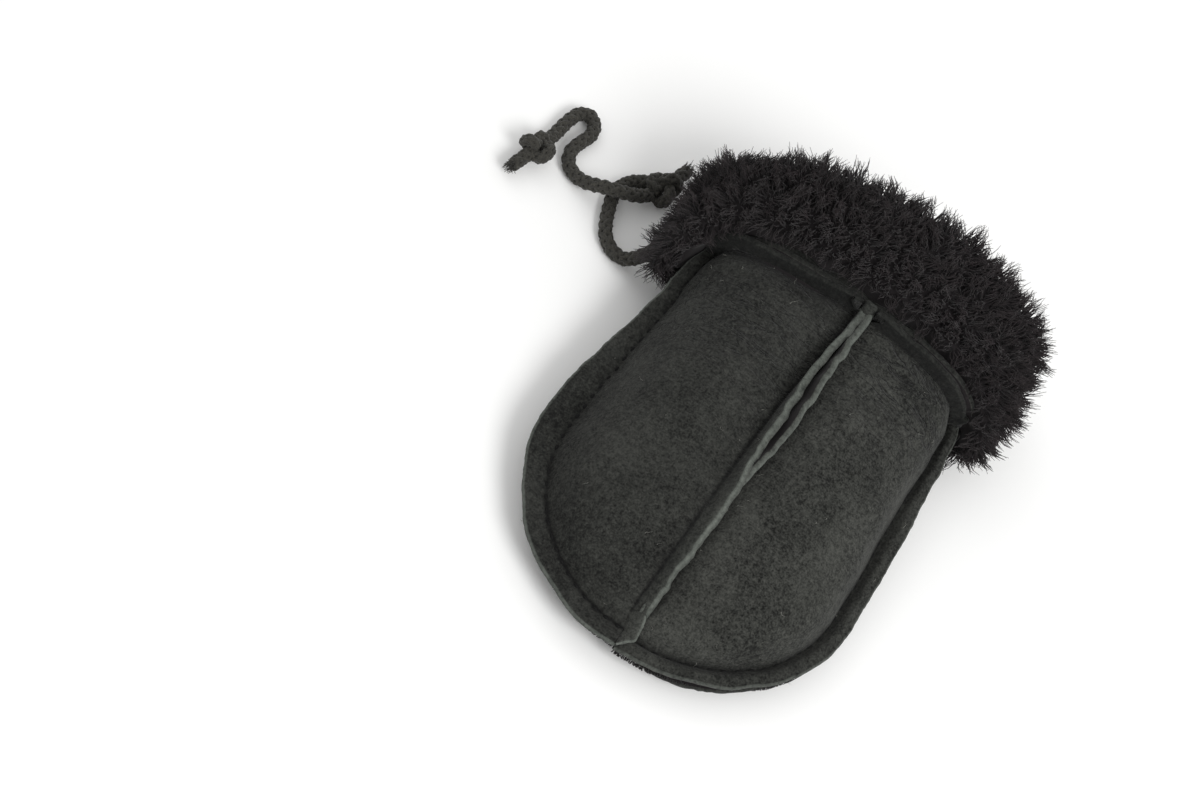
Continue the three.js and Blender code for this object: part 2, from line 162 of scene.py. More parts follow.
def suede_material():
    material, tree, shader = new_material("sheepskin_suede_buffed")
    place = out(add(tree, "ShaderNodeTexCoord"), "Object")
    patches = add(tree, "ShaderNodeTexNoise", {"Vector": place, "Scale": per_mm(17), "Detail": 4.0,
                                               "Roughness": 0.6})
    nap = add(tree, "ShaderNodeTexNoise", {"Vector": place, "Scale": per_mm(1.3), "Detail": 4.0,
                                           "Roughness": 0.75})
    fine = add(tree, "ShaderNodeTexNoise", {"Vector": place, "Scale": per_mm(0.5), "Detail": 2.0})
    mixed = add(tree, "ShaderNodeMath", {0: out(nap), 1: 1.5, 2: out(patches)}, operation="MULTIPLY_ADD")
    grains = add(tree, "ShaderNodeMath", {0: out(fine), 1: 1.1, 2: out(mixed)}, operation="MULTIPLY_ADD")
    spread = add(tree, "ShaderNodeMapRange", {"Value": out(grains), "From Min": 1.42, "From Max": 2.2})
    body = add(tree, "ShaderNodeMix", {"Factor": out(spread), "A": colour(SUEDE_DARK),
                                       "B": colour(SUEDE_PALE)}, data_type="RGBA")
    creased = add(tree, "ShaderNodeAttribute", attribute_name="creased")
    slanted = add(tree, "ShaderNodeMapping", {"Vector": place, "Rotation": (0, 0, 0.25),
                                              "Scale": (0.5, 1.4, 1)})
    field = add(tree, "ShaderNodeTexNoise", {"Vector": out(slanted), "Scale": per_mm(5), "Detail": 2.5,
                                             "Distortion": 0.7})
    apart = add(tree, "ShaderNodeMath", {0: out(field), 1: 0.5}, operation="SUBTRACT")
    depth = add(tree, "ShaderNodeMath", {0: out(apart)}, operation="ABSOLUTE")
    thin = add(tree, "ShaderNodeMapRange", {"Value": out(depth), "From Max": 0.045, "To Min": 1.0,
                                            "To Max": 0.0})
    # The creases' furrows are bumped, and also painted darker as shade
    furrows = add(tree, "ShaderNodeMath", {0: out(thin), 1: out(creased, "Fac")}, operation="MULTIPLY")
    furrow_shade = add(tree, "ShaderNodeMath", {0: out(furrows), 1: 0.6}, operation="MULTIPLY")
    # Pressed seams are painted black, and painted shade is mixed in the same way into grooves, the cuff
    # valley, under the wool and over the left panel
    pressed = add(tree, "ShaderNodeAttribute", attribute_name="pressed")
    uneven = add(tree, "ShaderNodeMapRange", {"Value": out(nap), "From Min": 0.35, "From Max": 0.65,
                                              "To Min": 1.0, "To Max": 0.8})
    shut = add(tree, "ShaderNodeMath", {0: out(pressed, "Fac"), 1: out(uneven)}, operation="MULTIPLY")
    dim = add(tree, "ShaderNodeMath", {0: out(furrow_shade), 1: out(shut)}, operation="MAXIMUM", use_clamp=True)
    lined = add(tree, "ShaderNodeMix", {"Factor": out(dim), "A": out(body), "B": colour(SUEDE_PRESSED_AND_SHADED)},
                data_type="RGBA")
    worn = add(tree, "ShaderNodeAttribute", attribute_name="worn")
    rubbed = add(tree, "ShaderNodeMapRange", {"Value": out(nap), "From Min": 0.3, "From Max": 0.62,
                                              "To Min": 0.55, "To Max": 1.15})
    edge = add(tree, "ShaderNodeMath", {0: out(worn, "Fac"), 1: out(rubbed)}, operation="MULTIPLY",
               use_clamp=True)
    whole = add(tree, "ShaderNodeMix", {"Factor": out(edge), "A": out(lined), "B": colour(CUT_EDGE)},
                data_type="RGBA")
    tree.links.new(out(whole), shader.inputs["Base Color"])
    folded = add(tree, "ShaderNodeBump", {"Height": out(furrows), "Distance": 0.5 * MM}, invert=True)
    relief = add(tree, "ShaderNodeBump", {"Height": out(nap), "Distance": 0.5 * MM, "Strength": 0.55,
                                          "Normal": out(folded)})
    grain = add(tree, "ShaderNodeBump", {"Height": out(fine), "Distance": 0.25 * MM, "Strength": 0.6,
                                         "Normal": out(relief)})
    tree.links.new(out(grain), shader.inputs["Normal"])
    shader.inputs["Roughness"].default_value = 0.95
    shader.inputs["Specular IOR Level"].default_value = 0.2
    shader.inputs["Sheen Weight"].default_value = 0.06
    shader.inputs["Sheen Roughness"].default_value = 0.5
    return material


# Sheep's wool, clipped and dyed black: dull, its tips a little browner and paler than its roots, and
# locks that differ a little. The attribute along runs from a strand's root to its tip
WOOL_ROOT = "#1d1a1b"
WOOL_TIP = "#393334"


def wool_material():
    material, tree, shader = new_material("sheep_wool_clipped")
    place = out(add(tree, "ShaderNodeTexCoord"), "Object")
    along = add(tree, "ShaderNodeAttribute", attribute_name="along")
    locks = add(tree, "ShaderNodeTexNoise", {"Vector": place, "Scale": per_mm(7), "Detail": 4.0})
    shade = add(tree, "ShaderNodeMath", {0: out(along, "Fac"), 1: out(locks)}, operation="MULTIPLY")
    spread = add(tree, "ShaderNodeMapRange", {"Value": out(shade), "From Min": 0.0, "From Max": 0.62})
    body = add(tree, "ShaderNodeMix", {"Factor": out(spread), "A": colour(WOOL_ROOT),
                                       "B": colour(WOOL_TIP)}, data_type="RGBA")
    tree.links.new(out(body), shader.inputs["Base Color"])
    shader.inputs["Roughness"].default_value = 0.9
    shader.inputs["Specular IOR Level"].default_value = 0.15
    shader.inputs["Sheen Weight"].default_value = 0.12
    return material


# Braided polyester cord with spun yarns: dull, with a brownish olive cast where light rakes it. The
# fibres of a yarn are too fine to show, so they are drawn 0.5 mm apart
YARN_DARK = "#1c1b18"
YARN_PALE = "#403e37"


def yarn_material():
    material, tree, shader = new_material("spun_yarn_braided")
    place = out(add(tree, "ShaderNodeTexCoord"), "Object")
    fibres = add(tree, "ShaderNodeTexNoise", {"Vector": place, "Scale": per_mm(0.5), "Detail": 3.0,
                                              "Roughness": 0.7})
    spread = add(tree, "ShaderNodeMapRange", {"Value": out(fibres), "From Min": 0.35, "From Max": 0.7})
    body = add(tree, "ShaderNodeMix", {"Factor": out(spread), "A": colour(YARN_DARK),
                                       "B": colour(YARN_PALE)}, data_type="RGBA")
    tree.links.new(out(body), shader.inputs["Base Color"])
    relief = add(tree, "ShaderNodeBump", {"Height": out(fibres), "Distance": 0.2 * MM, "Strength": 0.7})
    tree.links.new(out(relief), shader.inputs["Normal"])
    shader.inputs["Roughness"].default_value = 0.85
    shader.inputs["Sheen Weight"].default_value = 0.1
    return material


# Waxed sewing thread, twisted, sunk in the suede: black with a dull gloss
THREAD_DARK = "#040404"
THREAD_PALE = "#101010"


def thread_material():
    material, tree, shader = new_material("sewing_thread_waxed")
    place = out(add(tree, "ShaderNodeTexCoord"), "Object")
    twist = add(tree, "ShaderNodeTexNoise", {"Vector": place, "Scale": per_mm(0.4), "Detail": 2.0})
    body = add(tree, "ShaderNodeMix", {"Factor": out(twist), "A": colour(THREAD_DARK),
                                       "B": colour(THREAD_PALE)}, data_type="RGBA")
    tree.links.new(out(body), shader.inputs["Base Color"])
    shader.inputs["Roughness"].default_value = 0.7
    shader.inputs["Specular IOR Level"].default_value = 0.2
    return material


# Loose undyed fibres that the nap has caught: thin, pale and dull
FIBRE_DULL = "#4c4c48"
FIBRE_PALE = "#a6a69e"


def lint_material():
    material, tree, shader = new_material("wool_fibre_undyed")
    place = out(add(tree, "ShaderNodeTexCoord"), "Object")
    worn = add(tree, "ShaderNodeTexNoise", {"Vector": place, "Scale": per_mm(9)})
    body = add(tree, "ShaderNodeMix", {"Factor": out(worn), "A": colour(FIBRE_DULL),
                                       "B": colour(FIBRE_PALE)}, data_type="RGBA")
    tree.links.new(out(body), shader.inputs["Base Color"])
    shader.inputs["Roughness"].default_value = 0.9
    return material


suede = suede_material()
wool = wool_material()
yarn = yarn_material()
thread = thread_material()
lint = lint_material()

# Braided cords and their knots

CORD_DIAMETER = 4.0
YARNS = 8                   # half of them wind each way
YARN_RADIUS = 0.7
BRAID_PITCH = 10.8          # one turn of a yarn round the cord
BRAID_WAVE = 0.2            # how far a yarn goes up over and down under the others
PATH_STEP = 0.5             # between points along a cord

# The loop leaves the side seam, drops to the floor and goes round into its knot. The lead goes from
# the knot over the loop and along the floor to the end knot. Points in mm, as in the solids
LOOP_ROUTE = [
    (-43.1, 33, 17), (-44.8, 33, 17), (-48.6, 31.8, 13.4), (-51.6, 30, 7.2), (-55, 28.5, 3),
    (-59, 28.8, 2.1), (-62.9, 31.5, 2.1), (-65.4, 35.9, 2.1), (-67, 40, 2.1), (-68, 43.8, 2.1),
    (-68, 47.6, 2.1), (-66.2, 51, 2.4), (-62.6, 53.2, 3.6),
]
LEAD_ROUTE = [
    (-60.4, 50, 3.6), (-62.2, 46.6, 5), (-65, 43.6, 6.5), (-68.4, 41.9, 6.7), (-71.8, 41.2, 5.4),
    (-75.2, 41, 3.5), (-78.6, 41.5, 2.3), (-82.2, 43.4, 2.1), (-84.1, 47.6, 2.1), (-83.4, 52.6, 2.1),
    (-82.7, 55.6, 2.1), (-83.6, 58.9, 2.1), (-86.2, 60.8, 2.1), (-88.8, 59.2, 2.1), (-89.8, 55.5, 2.1),
    (-90.1, 51.4, 2.1), (-90.4, 47.6, 2.3), (-90.8, 44.6, 3.2),
]
KNOT_PLACE, KNOT_TAIL = (-58.6, 53.4, 4.8), (-56.6, 63, 4.4)
END_KNOT_PLACE, END_KNOT_TAIL = (-91, 40.4, 4.8), (-93.4, 31.6, 3.2)


def braid_tree():
    """Yarns that wind both ways along a curve and go over and under each other"""
    tree, given = node_group("braid", {
        "Yarns": "Int", "Core radius": "Float", "Wave": "Float", "Pitch": "Float", "Yarn radius": "Float",
        "Step": "Float", "Material": "Material"})
    line = add(tree, "GeometryNodeResampleCurve", {"Curve": out(given, "Geometry"),
                                                   "Length": out(given, "Step")}, mode="LENGTH")
    many = add(tree, "GeometryNodeDuplicateElements", {
        "Geometry": out(line), "Amount": out(given, "Yarns")}, domain="SPLINE")
    which = out(many, "Duplicate Index")
    length = out(add(tree, "GeometryNodeSplineParameter"), "Length")
    turns = add(tree, "ShaderNodeMath", {0: length, 1: out(given, "Pitch")}, operation="DIVIDE")
    turned = add(tree, "ShaderNodeMath", {0: out(turns), 1: 2 * math.pi}, operation="MULTIPLY")
    odd = add(tree, "ShaderNodeMath", {0: which, 1: 2.0}, operation="MODULO")
    way = add(tree, "ShaderNodeMath", {0: out(odd), 1: 2.0, 2: -1.0}, operation="MULTIPLY_ADD")
    pair = add(tree, "ShaderNodeMath", {0: which, 1: 0.5}, operation="MULTIPLY")
    place = add(tree, "ShaderNodeMath", {0: out(pair)}, operation="FLOOR")
    half = add(tree, "ShaderNodeMath", {0: out(given, "Yarns"), 1: 0.5}, operation="MULTIPLY")
    share = add(tree, "ShaderNodeMath", {0: out(place), 1: out(half)}, operation="DIVIDE")
    start = add(tree, "ShaderNodeMath", {0: out(share), 1: 2 * math.pi}, operation="MULTIPLY")
    angle = add(tree, "ShaderNodeMath", {0: out(turned), 1: out(way), 2: out(start)},
                operation="MULTIPLY_ADD")
    crossing = add(tree, "ShaderNodeMath", {0: out(turned), 1: out(half)}, operation="MULTIPLY")
    over = add(tree, "ShaderNodeMath", {0: out(crossing)}, operation="COSINE")
    signed = add(tree, "ShaderNodeMath", {0: out(over), 1: out(way)}, operation="MULTIPLY")
    reach = add(tree, "ShaderNodeMath", {0: out(signed), 1: out(given, "Wave"),
                                         2: out(given, "Core radius")}, operation="MULTIPLY_ADD")
    tangent = out(add(tree, "GeometryNodeInputTangent"))
    normal = out(add(tree, "GeometryNodeInputNormal"))
    across = add(tree, "ShaderNodeVectorMath", {0: tangent, 1: normal}, operation="CROSS_PRODUCT")
    cosine = add(tree, "ShaderNodeMath", {0: out(angle)}, operation="COSINE")
    sine = add(tree, "ShaderNodeMath", {0: out(angle)}, operation="SINE")
    one = add(tree, "ShaderNodeVectorMath", {0: normal, "Scale": out(cosine)}, operation="SCALE")
    two = add(tree, "ShaderNodeVectorMath", {0: out(across), "Scale": out(sine)}, operation="SCALE")
    both = add(tree, "ShaderNodeVectorMath", {0: out(one), 1: out(two)}, operation="ADD")
    offset = add(tree, "ShaderNodeVectorMath", {0: out(both), "Scale": out(reach)}, operation="SCALE")
    wound = add(tree, "GeometryNodeSetPosition", {"Geometry": out(many), "Offset": out(offset)})
    section = add(tree, "GeometryNodeCurvePrimitiveCircle", {"Resolution": 6,
                                                            "Radius": out(given, "Yarn radius")})
    tube = add(tree, "GeometryNodeCurveToMesh", {"Curve": out(wound), "Profile Curve": out(section),
                                                 "Fill Caps": True})
    real = add(tree, "GeometryNodeRealizeInstances", {"Geometry": out(tube)})
    finish = add(tree, "GeometryNodeSetMaterial", {"Geometry": out(real),
                                                   "Material": out(given, "Material")})
    add(tree, "NodeGroupOutput", {"Geometry": out(finish)})
    return tree


def smooth_route(points, step):
    """Even points along a centripetal curve through a route's points, in mm"""
    points = [np.array(p, float) for p in points]
    padded = [2 * points[0] - points[1], *points, 2 * points[-1] - points[-2]]
    dense = []
    for a, b, c, d in zip(padded, padded[1:], padded[2:], padded[3:]):
        knots = np.cumsum([0, *(np.linalg.norm(q - p) ** 0.5 for p, q in ((a, b), (b, c), (c, d)))])
        for t in np.linspace(knots[1], knots[2], 24, endpoint=False):
            ab, bc, cd = (p + (q - p) * (t - s) / (e - s) for p, q, s, e in (
                (a, b, knots[0], knots[1]), (b, c, knots[1], knots[2]), (c, d, knots[2], knots[3])))
            abc = ab + (bc - ab) * (t - knots[0]) / (knots[2] - knots[0])
            bcd = bc + (cd - bc) * (t - knots[1]) / (knots[3] - knots[1])
            dense.append(abc + (bcd - abc) * (t - knots[1]) / (knots[2] - knots[1]))
    dense = np.array([*dense, points[-1]])
    reached = np.concatenate([[0], np.cumsum(np.linalg.norm(np.diff(dense, axis=0), axis=1))])
    even = np.linspace(0, reached[-1], max(2, round(reached[-1] / step) + 1))
    return np.stack([np.interp(even, reached, dense[:, axis]) for axis in range(3)], axis=1)


def line_object(name, points):
    """A poly curve through points in mm"""
    data = bpy.data.curves.new(name, "CURVE")
    data.dimensions = "3D"
    spline = data.splines.new("POLY")
    spline.points.add(len(points) - 1)
    flat = np.concatenate([np.asarray(points) * MM, np.ones((len(points), 1))], axis=1)
    spline.points.foreach_set("co", flat.ravel())
    line = bpy.data.objects.new(name, data)
    bpy.context.scene.collection.objects.link(line)
    return line


braid = braid_tree()


def braided(name, points, radius=CORD_DIAMETER / 2):
    core = radius - YARN_RADIUS - BRAID_WAVE * 0.6
    values = {"Yarns": YARNS, "Core radius": core * MM, "Wave": BRAID_WAVE * MM, "Pitch": BRAID_PITCH * MM,
              "Yarn radius": YARN_RADIUS * MM, "Step": PATH_STEP * MM, "Material": yarn}
    return grown(name, line_object(name + "_line", points), braid, values)


def joined(name, pieces):
    """Several mesh objects made into one"""
    with bpy.context.temp_override(active_object=pieces[0], selected_editable_objects=pieces,
                                   object=pieces[0], selected_objects=pieces):
        bpy.ops.object.join()
    pieces[0].name = name
    pieces[0].data.name = name
    return pieces[0]


# A knot is a trefoil pulled tight, with the short cut end of the cord beside it
KNOT_SPREAD = 1.25
KNOT_HEIGHT = 1.2           # as a share of its spread
KNOT_OPENING = 0.25         # radians of the trefoil left out at its start and at its end
KNOT_CORD_RADIUS = 1.75     # the cord is drawn thinner where it is pulled tight
TAIL_START = 2              # from the knot's middle to where its tail begins
KNOT_TURN = {"cord_knot": (0.5, 0.5), "cord_end_knot": (-0.4, 0.9)}    # radians about X and about Z


def knot_piece(name, place, tail):
    place, tail = np.array(place), np.array(tail)
    t = np.linspace(KNOT_OPENING, 2 * math.pi - KNOT_OPENING, 90)
    trefoil = np.stack([np.sin(t) + 2 * np.sin(2 * t), np.cos(t) - 2 * np.cos(2 * t), -np.sin(3 * t)], 1)
    tilt = Matrix.Rotation(KNOT_TURN[name][0], 3, "X") @ Matrix.Rotation(KNOT_TURN[name][1], 3, "Z")
    turns = (trefoil * KNOT_SPREAD * (1, 1, KNOT_HEIGHT)) @ np.array(tilt).T + place
    turns[:, 2] = np.maximum(turns[:, 2], CORD_DIAMETER / 2)
    away = (tail - place) / np.linalg.norm(tail - place)
    reached = np.linspace(TAIL_START, np.linalg.norm(tail - place), 12)
    stub = np.array([place + away * s for s in reached])
    made = [braided(name + "_turns", turns, KNOT_CORD_RADIUS), braided(name + "_stub", stub)]
    return joined(name + "_braid", made)


loop_path = smooth_route(LOOP_ROUTE, PATH_STEP)
lead_path = smooth_route(LEAD_ROUTE, PATH_STEP)


cord_loop = braided("cord_loop_braid", loop_path)
cord_lead = braided("cord_lead_braid", lead_path)
cord_knot = knot_piece("cord_knot", KNOT_PLACE, KNOT_TAIL)
cord_end_knot = knot_piece("cord_end_knot", END_KNOT_PLACE, END_KNOT_TAIL)

for piece, node in ((cord_loop, "cord_loop"), (cord_lead, "cord_lead"), (cord_knot, "cord_knot"),
                    (cord_end_knot, "cord_end_knot")):
    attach(piece, "root")
    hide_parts(node)

# Shape of the hand part

# Sizes in mm, as in the solids. A side is -1 for left and 1 for right, seen as in the photo
palm_low, palm_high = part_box("palm_panel")
BODY_WIDTH = (palm_high[0] - palm_low[0]) / MM
BODY_LENGTH = 106
SEAM_Y = palm_low[1] / MM + BODY_LENGTH     # where the cuff seam is
BACK_HEIGHT = 34                    # the back, the side seams and the palm over the floor, at the cuff seam
SIDE_HEIGHT = 17
PALM_RISE = 8
SKIN = 2.4
LIP_SKIN = 1.5                      # a skin's thickness where a seam presses it
SEAM_GAP = 0.3
SIDE_LIP = 5                        # how far each seam's turned-out edge stands out past its stitching
CENTRE_LIP = 4
CUFF_LIP = 4.2
BAND_LIP = 4.3
GROOVE_DEPTH, GROOVE_REACH = 2.2, 6     # the back sinks towards the centre seam
FOLD_STEP, FOLD_REACH = 1.9, 2.5        # and its left panel ends higher than its right one
REST_DEPTH = 0.7                        # how much of the palm's roundness the floor presses flat
TIP_START, CENTRE_END, PALM_END = 0.60, 0.92, 0.78      # shares of the length
TIP_ROUNDNESS, BACK_ROUNDNESS = 2.02, 2.3       # powers of the outlines, where 2 is an ellipse
SIDE_SEAM_GROOVE, SIDE_SEAM_REACH = {-1: 0.55, 1: 1.1}, 1.8
SIDE_FLAT = {-1: 4.5, 1: 1.2}       # how far in from its side seam the back lies flatter
FLAT_FROM_CUFF = 14
SEAM_SWAY = 2.8                     # how far right of the middle the centre seam meets the cuff
SWAY_LENGTH, SWAY_WIDTH = 26, 20

# Shares of the sizes above, from the cuff seam (0) to the fingertips (1). round is the palm's power
BODY_SECTIONS = [
    dict(along=0.00, width=0.95, back=1.00, side=1.00, palm=1.00, round=2.3),
    dict(along=0.18, width=0.955, back=0.98, side=0.80, palm=0.55, round=2.6),
    dict(along=0.40, width=0.985, back=0.91, side=0.60, palm=0.00, round=3.2),
    dict(along=0.66, width=1.00, back=0.76, side=0.47, palm=0.00, round=3.6),
    dict(along=0.86, width=0.98, back=0.52, side=0.42, palm=0.00, round=3.2),
    dict(along=1.00, width=0.96, back=0.32, side=0.40, palm=0.00, round=2.8),
]

# left and right are the degrees by which each edge of the centre seam leans to the right, and the others
# are shares of the edge's height, of the step and of the groove
CENTRE_SEAM_FOLDS = [
    dict(along=0.00, left=0, right=8, left_tall=0.6, right_tall=0.6, climb=0.0, groove=0.3),
    dict(along=0.20, left=2, right=27, left_tall=1.0, right_tall=1.0, climb=0.0, groove=1.0),
    dict(along=0.42, left=24, right=44, left_tall=1.0, right_tall=1.0, climb=0.3, groove=1.0),
    dict(along=0.58, left=42, right=40, left_tall=1.0, right_tall=0.45, climb=0.9, groove=0.9),
    dict(along=1.00, left=58, right=20, left_tall=0.9, right_tall=0.2, climb=1.0, groove=0.3),
]


def column(table, name):
    """A smooth curve through a column: its slope at a row is the mean of the chords to both sides"""
    at = np.array([row["along"] for row in table])
    value = np.array([row[name] for row in table], float)
    chords = np.diff(value) / np.diff(at)
    slopes = np.concatenate([chords[:1], (chords[1:] + chords[:-1]) / 2, chords[-1:]])

    def curve(share):
        share = np.clip(share, 0, 1)
        k = np.clip(np.searchsorted(at, share, side="right") - 1, 0, len(at) - 2)
        gap = at[k + 1] - at[k]
        p = (share - at[k]) / gap
        start = value[k] * (2 * p**3 - 3 * p**2 + 1) + gap * slopes[k] * (p**3 - 2 * p**2 + p)
        return start + value[k + 1] * (3 * p**2 - 2 * p**3) + gap * slopes[k + 1] * (p**3 - p**2)

    return curve


width_at, back_at, side_at, palm_at, round_at = (
    column(BODY_SECTIONS, name) for name in ("width", "back", "side", "palm", "round"))
lean_at = {-1: column(CENTRE_SEAM_FOLDS, "left"), 1: column(CENTRE_SEAM_FOLDS, "right")}
tall_at = {-1: column(CENTRE_SEAM_FOLDS, "left_tall"), 1: column(CENTRE_SEAM_FOLDS, "right_tall")}
climb_at = column(CENTRE_SEAM_FOLDS, "climb")
groove_at = column(CENTRE_SEAM_FOLDS, "groove")


def bump(value, middle, reach):
    """1 at the middle, falling to a third at its reach"""
    return np.exp(-((value - middle) / reach) ** 2)


def dome(share, roundness):
    """The height of a rounded section from its middle (1) to its side (0)"""
    return np.maximum(0, 1 - share**roundness) ** (1 / roundness)


def noise(points, size, seed):
    """Smooth random values from -1 to 1 at points in mm, with bumps about size mm apart"""
    spot = np.asarray(points) / size + seed * 17.31
    cell = np.floor(spot).astype(np.int64)
    part = spot - cell
    blend = part * part * (3 - 2 * part)
    total = np.zeros(spot.shape[:-1])
    for corner in itertools.product((0, 1), repeat=3):
        at = cell + corner
        mixed = (at[..., 0] * 73856093) ^ (at[..., 1] * 19349663) ^ (at[..., 2] * 83492791)
        mixed = (mixed ^ (mixed >> 13)) * 1274126177
        value = ((mixed ^ (mixed >> 16)) & 0xFFFF) / 32767.5 - 1
        total += value * np.prod(np.where(corner, blend, 1 - blend), axis=-1)
    return total


# Rows of the hand part: straight ones, then those that fan round the fingertips
straight = np.linspace(0, TIP_START, 76)[:-1]
fan = np.radians(np.linspace(0, 90, 64))
forward = np.sin(fan) ** (2 / TIP_ROUNDNESS)
narrow = np.maximum(0, np.cos(fan)) ** (2 / TIP_ROUNDNESS)
narrow[-1] = 0
row_side = np.concatenate([straight, TIP_START + (1 - TIP_START) * forward])
row_centre = np.concatenate([straight, np.linspace(TIP_START, CENTRE_END, len(fan))])
row_palm = np.concatenate([straight, np.linspace(TIP_START, PALM_END, len(fan))])
half_width = np.concatenate([width_at(straight), width_at(TIP_START) * narrow]) * BODY_WIDTH / 2
outline = np.stack([half_width, SEAM_Y - row_side * BODY_LENGTH], axis=1)
run = np.gradient(outline, axis=0)
outline_out = np.stack([-run[:, 1], run[:, 0]], axis=1)
outline_out /= np.linalg.norm(outline_out, axis=1, keepdims=True)
outline_out[-1] = (0, -1)
stitch_line = outline - outline_out * SIDE_LIP


def eased(count):
    """Shares from 0 to 1, closer together at both ends"""
    even = np.linspace(0, 1, count)
    return 0.45 * even + 0.55 * (0.5 - 0.5 * np.cos(math.pi * even))


BACK_SHARES = eased(52)
PALM_SHARES = eased(44)
LIP_STEPS = np.array([1, 2, 3, 4, 5, 5.7, 6]) / 6



def back_face(side, creased=1.0):
    """The back's outer face, from the centre seam to the side stitching"""
    share = BACK_SHARES[None, :]
    centre_x = SEAM_GAP / 2 + LIP_SKIN
    centre_y = (SEAM_Y - row_centre * BODY_LENGTH)[:, None]
    side_z = (side_at(row_side) * SIDE_HEIGHT + SEAM_GAP / 2 + LIP_SKIN)[:, None]
    centre_z = (back_at(row_centre) * BACK_HEIGHT)[:, None]
    foot_x = np.maximum(stitch_line[:, 0], SEAM_GAP / 2)[:, None]
    x = centre_x + (foot_x - centre_x) * share
    y = centre_y + (stitch_line[:, 1][:, None] - centre_y) * share
    from_seam = np.hypot(x - centre_x, y - centre_y)
    from_side = np.hypot(x - foot_x, y - stitch_line[:, 1][:, None])
    groove = GROOVE_DEPTH * groove_at(row_centre)[:, None] * np.exp(-(from_seam / GROOVE_REACH) ** 2)
    climb = FOLD_STEP / 2 * climb_at(row_centre)[:, None] * np.exp(-(from_seam / FOLD_REACH) ** 2)
    crease = (groove + side * climb) * (1 - share) * creased
    sunk = SIDE_SEAM_GROOVE[side] * np.exp(-(from_side / SIDE_SEAM_REACH) ** 2) * creased
    flat = np.exp(-(from_side / SIDE_FLAT[side]) ** 1.1) * (1 - np.exp(-(SEAM_Y - y) / FLAT_FROM_CUFF))
    z = side_z + (centre_z - side_z) * dome(share, BACK_ROUNDNESS) * (1 - flat) - crease - sunk
    moved = SEAM_SWAY * bump(y, SEAM_Y, SWAY_LENGTH) * bump(x, 0, SWAY_WIDTH)
    return np.stack([side * x + moved, y + 0 * x, z], axis=2), from_seam, from_side


def grid_normals(grid, towards):
    """Unit directions away from a grid's face"""
    across = np.gradient(grid, axis=1)
    along = np.gradient(grid, axis=0)
    normal = np.cross(across, along)
    return towards * normal / np.maximum(1e-9, np.linalg.norm(normal, axis=2, keepdims=True))


# Relief of the suede, in mm: its height, its spacing, and how far from its seam it reaches
BROAD_LUMP, BROAD_SPACING = 0.35, 11
SMALL_LUMP, SMALL_SPACING = 0.16, 4.2
CENTRE_PUCKER, CENTRE_SPACING, CENTRE_REACH = 0.55, 7, 6
SIDE_PUCKER, SIDE_SPACING, SIDE_REACH = 0.4, 5, 5
CUFF_GATHER, GATHER_SPACING, GATHER_REACH = 0.5, 7, 7
CUFF_DRAW, CUFF_DRAW_REACH = 1.7, 4.5       # how far the cuff seam's stitches pull the back in
LEFT_DRAW = dict(more=1.4, x=-22, reach=16)     # they pull harder here
CENTRE_DRAW = dict(less=0.9, reach=7)           # and hardly at all next to the centre seam
CREASE, CREASE_SPACING, CREASE_PATCH = 0.7, 6, 13
CREASE_START = 0.8                          # share of a ridge's height past which it shows
CREASE_MIDDLE = {-1: (-14, 14, 0), 1: (20, 24, 0)}


def back_relief(side, face, from_seam, from_side):
    """How far the suede stands out or in: soft lumps, puckers drawn in by the seams, and creases"""
    x = face[..., 0]
    lumps = BROAD_LUMP * noise(face, BROAD_SPACING, 1 + side)
    lumps = lumps + SMALL_LUMP * noise(face, SMALL_SPACING, 3 + side)
    drawn = noise(face * (0.35, 1.6, 1), CENTRE_SPACING, 5 + side)
    puckers = CENTRE_PUCKER * drawn * np.exp(-from_seam / CENTRE_REACH)
    puckers = puckers + SIDE_PUCKER * noise(face, SIDE_SPACING, 8) * np.exp(-from_side / SIDE_REACH)
    at_cuff = SEAM_Y - face[..., 1]
    harder = LEFT_DRAW["more"] * bump(x, LEFT_DRAW["x"], LEFT_DRAW["reach"])
    valley = CUFF_DRAW + (harder if side < 0 else 0)
    valley = valley * (1 - CENTRE_DRAW["less"] * bump(x, SEAM_SWAY, CENTRE_DRAW["reach"]))
    drawn_in = -valley * np.exp(-(at_cuff / CUFF_DRAW_REACH) ** 2)
    gathered = CUFF_GATHER * noise(face * (1.5, 0.4, 1), GATHER_SPACING, 11 + side)
    gathered = gathered * np.exp(-at_cuff / GATHER_REACH)
    turned = face @ np.array([[0.85, -0.5, 0], [0.5, 0.85, 0], [0, 0, 1]]).T
    ridges = 1 - np.abs(noise(turned * (0.35, 1.3, 0.6), CREASE_SPACING, 13))
    near = bump(np.linalg.norm((face - CREASE_MIDDLE[side])[..., :2], axis=-1), 0, CREASE_PATCH)
    creases = -CREASE * np.maximum(0, ridges - CREASE_START) / (1 - CREASE_START) * near
    return lumps + puckers + gathered + creases + drawn_in


CUT_RINGS = ((0.2, 1.4), (0.6, 0.8), (0.9, 0.5))    # shares through the skin, and how pale each is: worn paler at the cut, less towards the inner face as painted shade
CUT_BULGE = 0.35                                    # how far a cut edge is rounded
CUT_FRAY, CUT_FRAY_SPACING = 0.13, 0.9


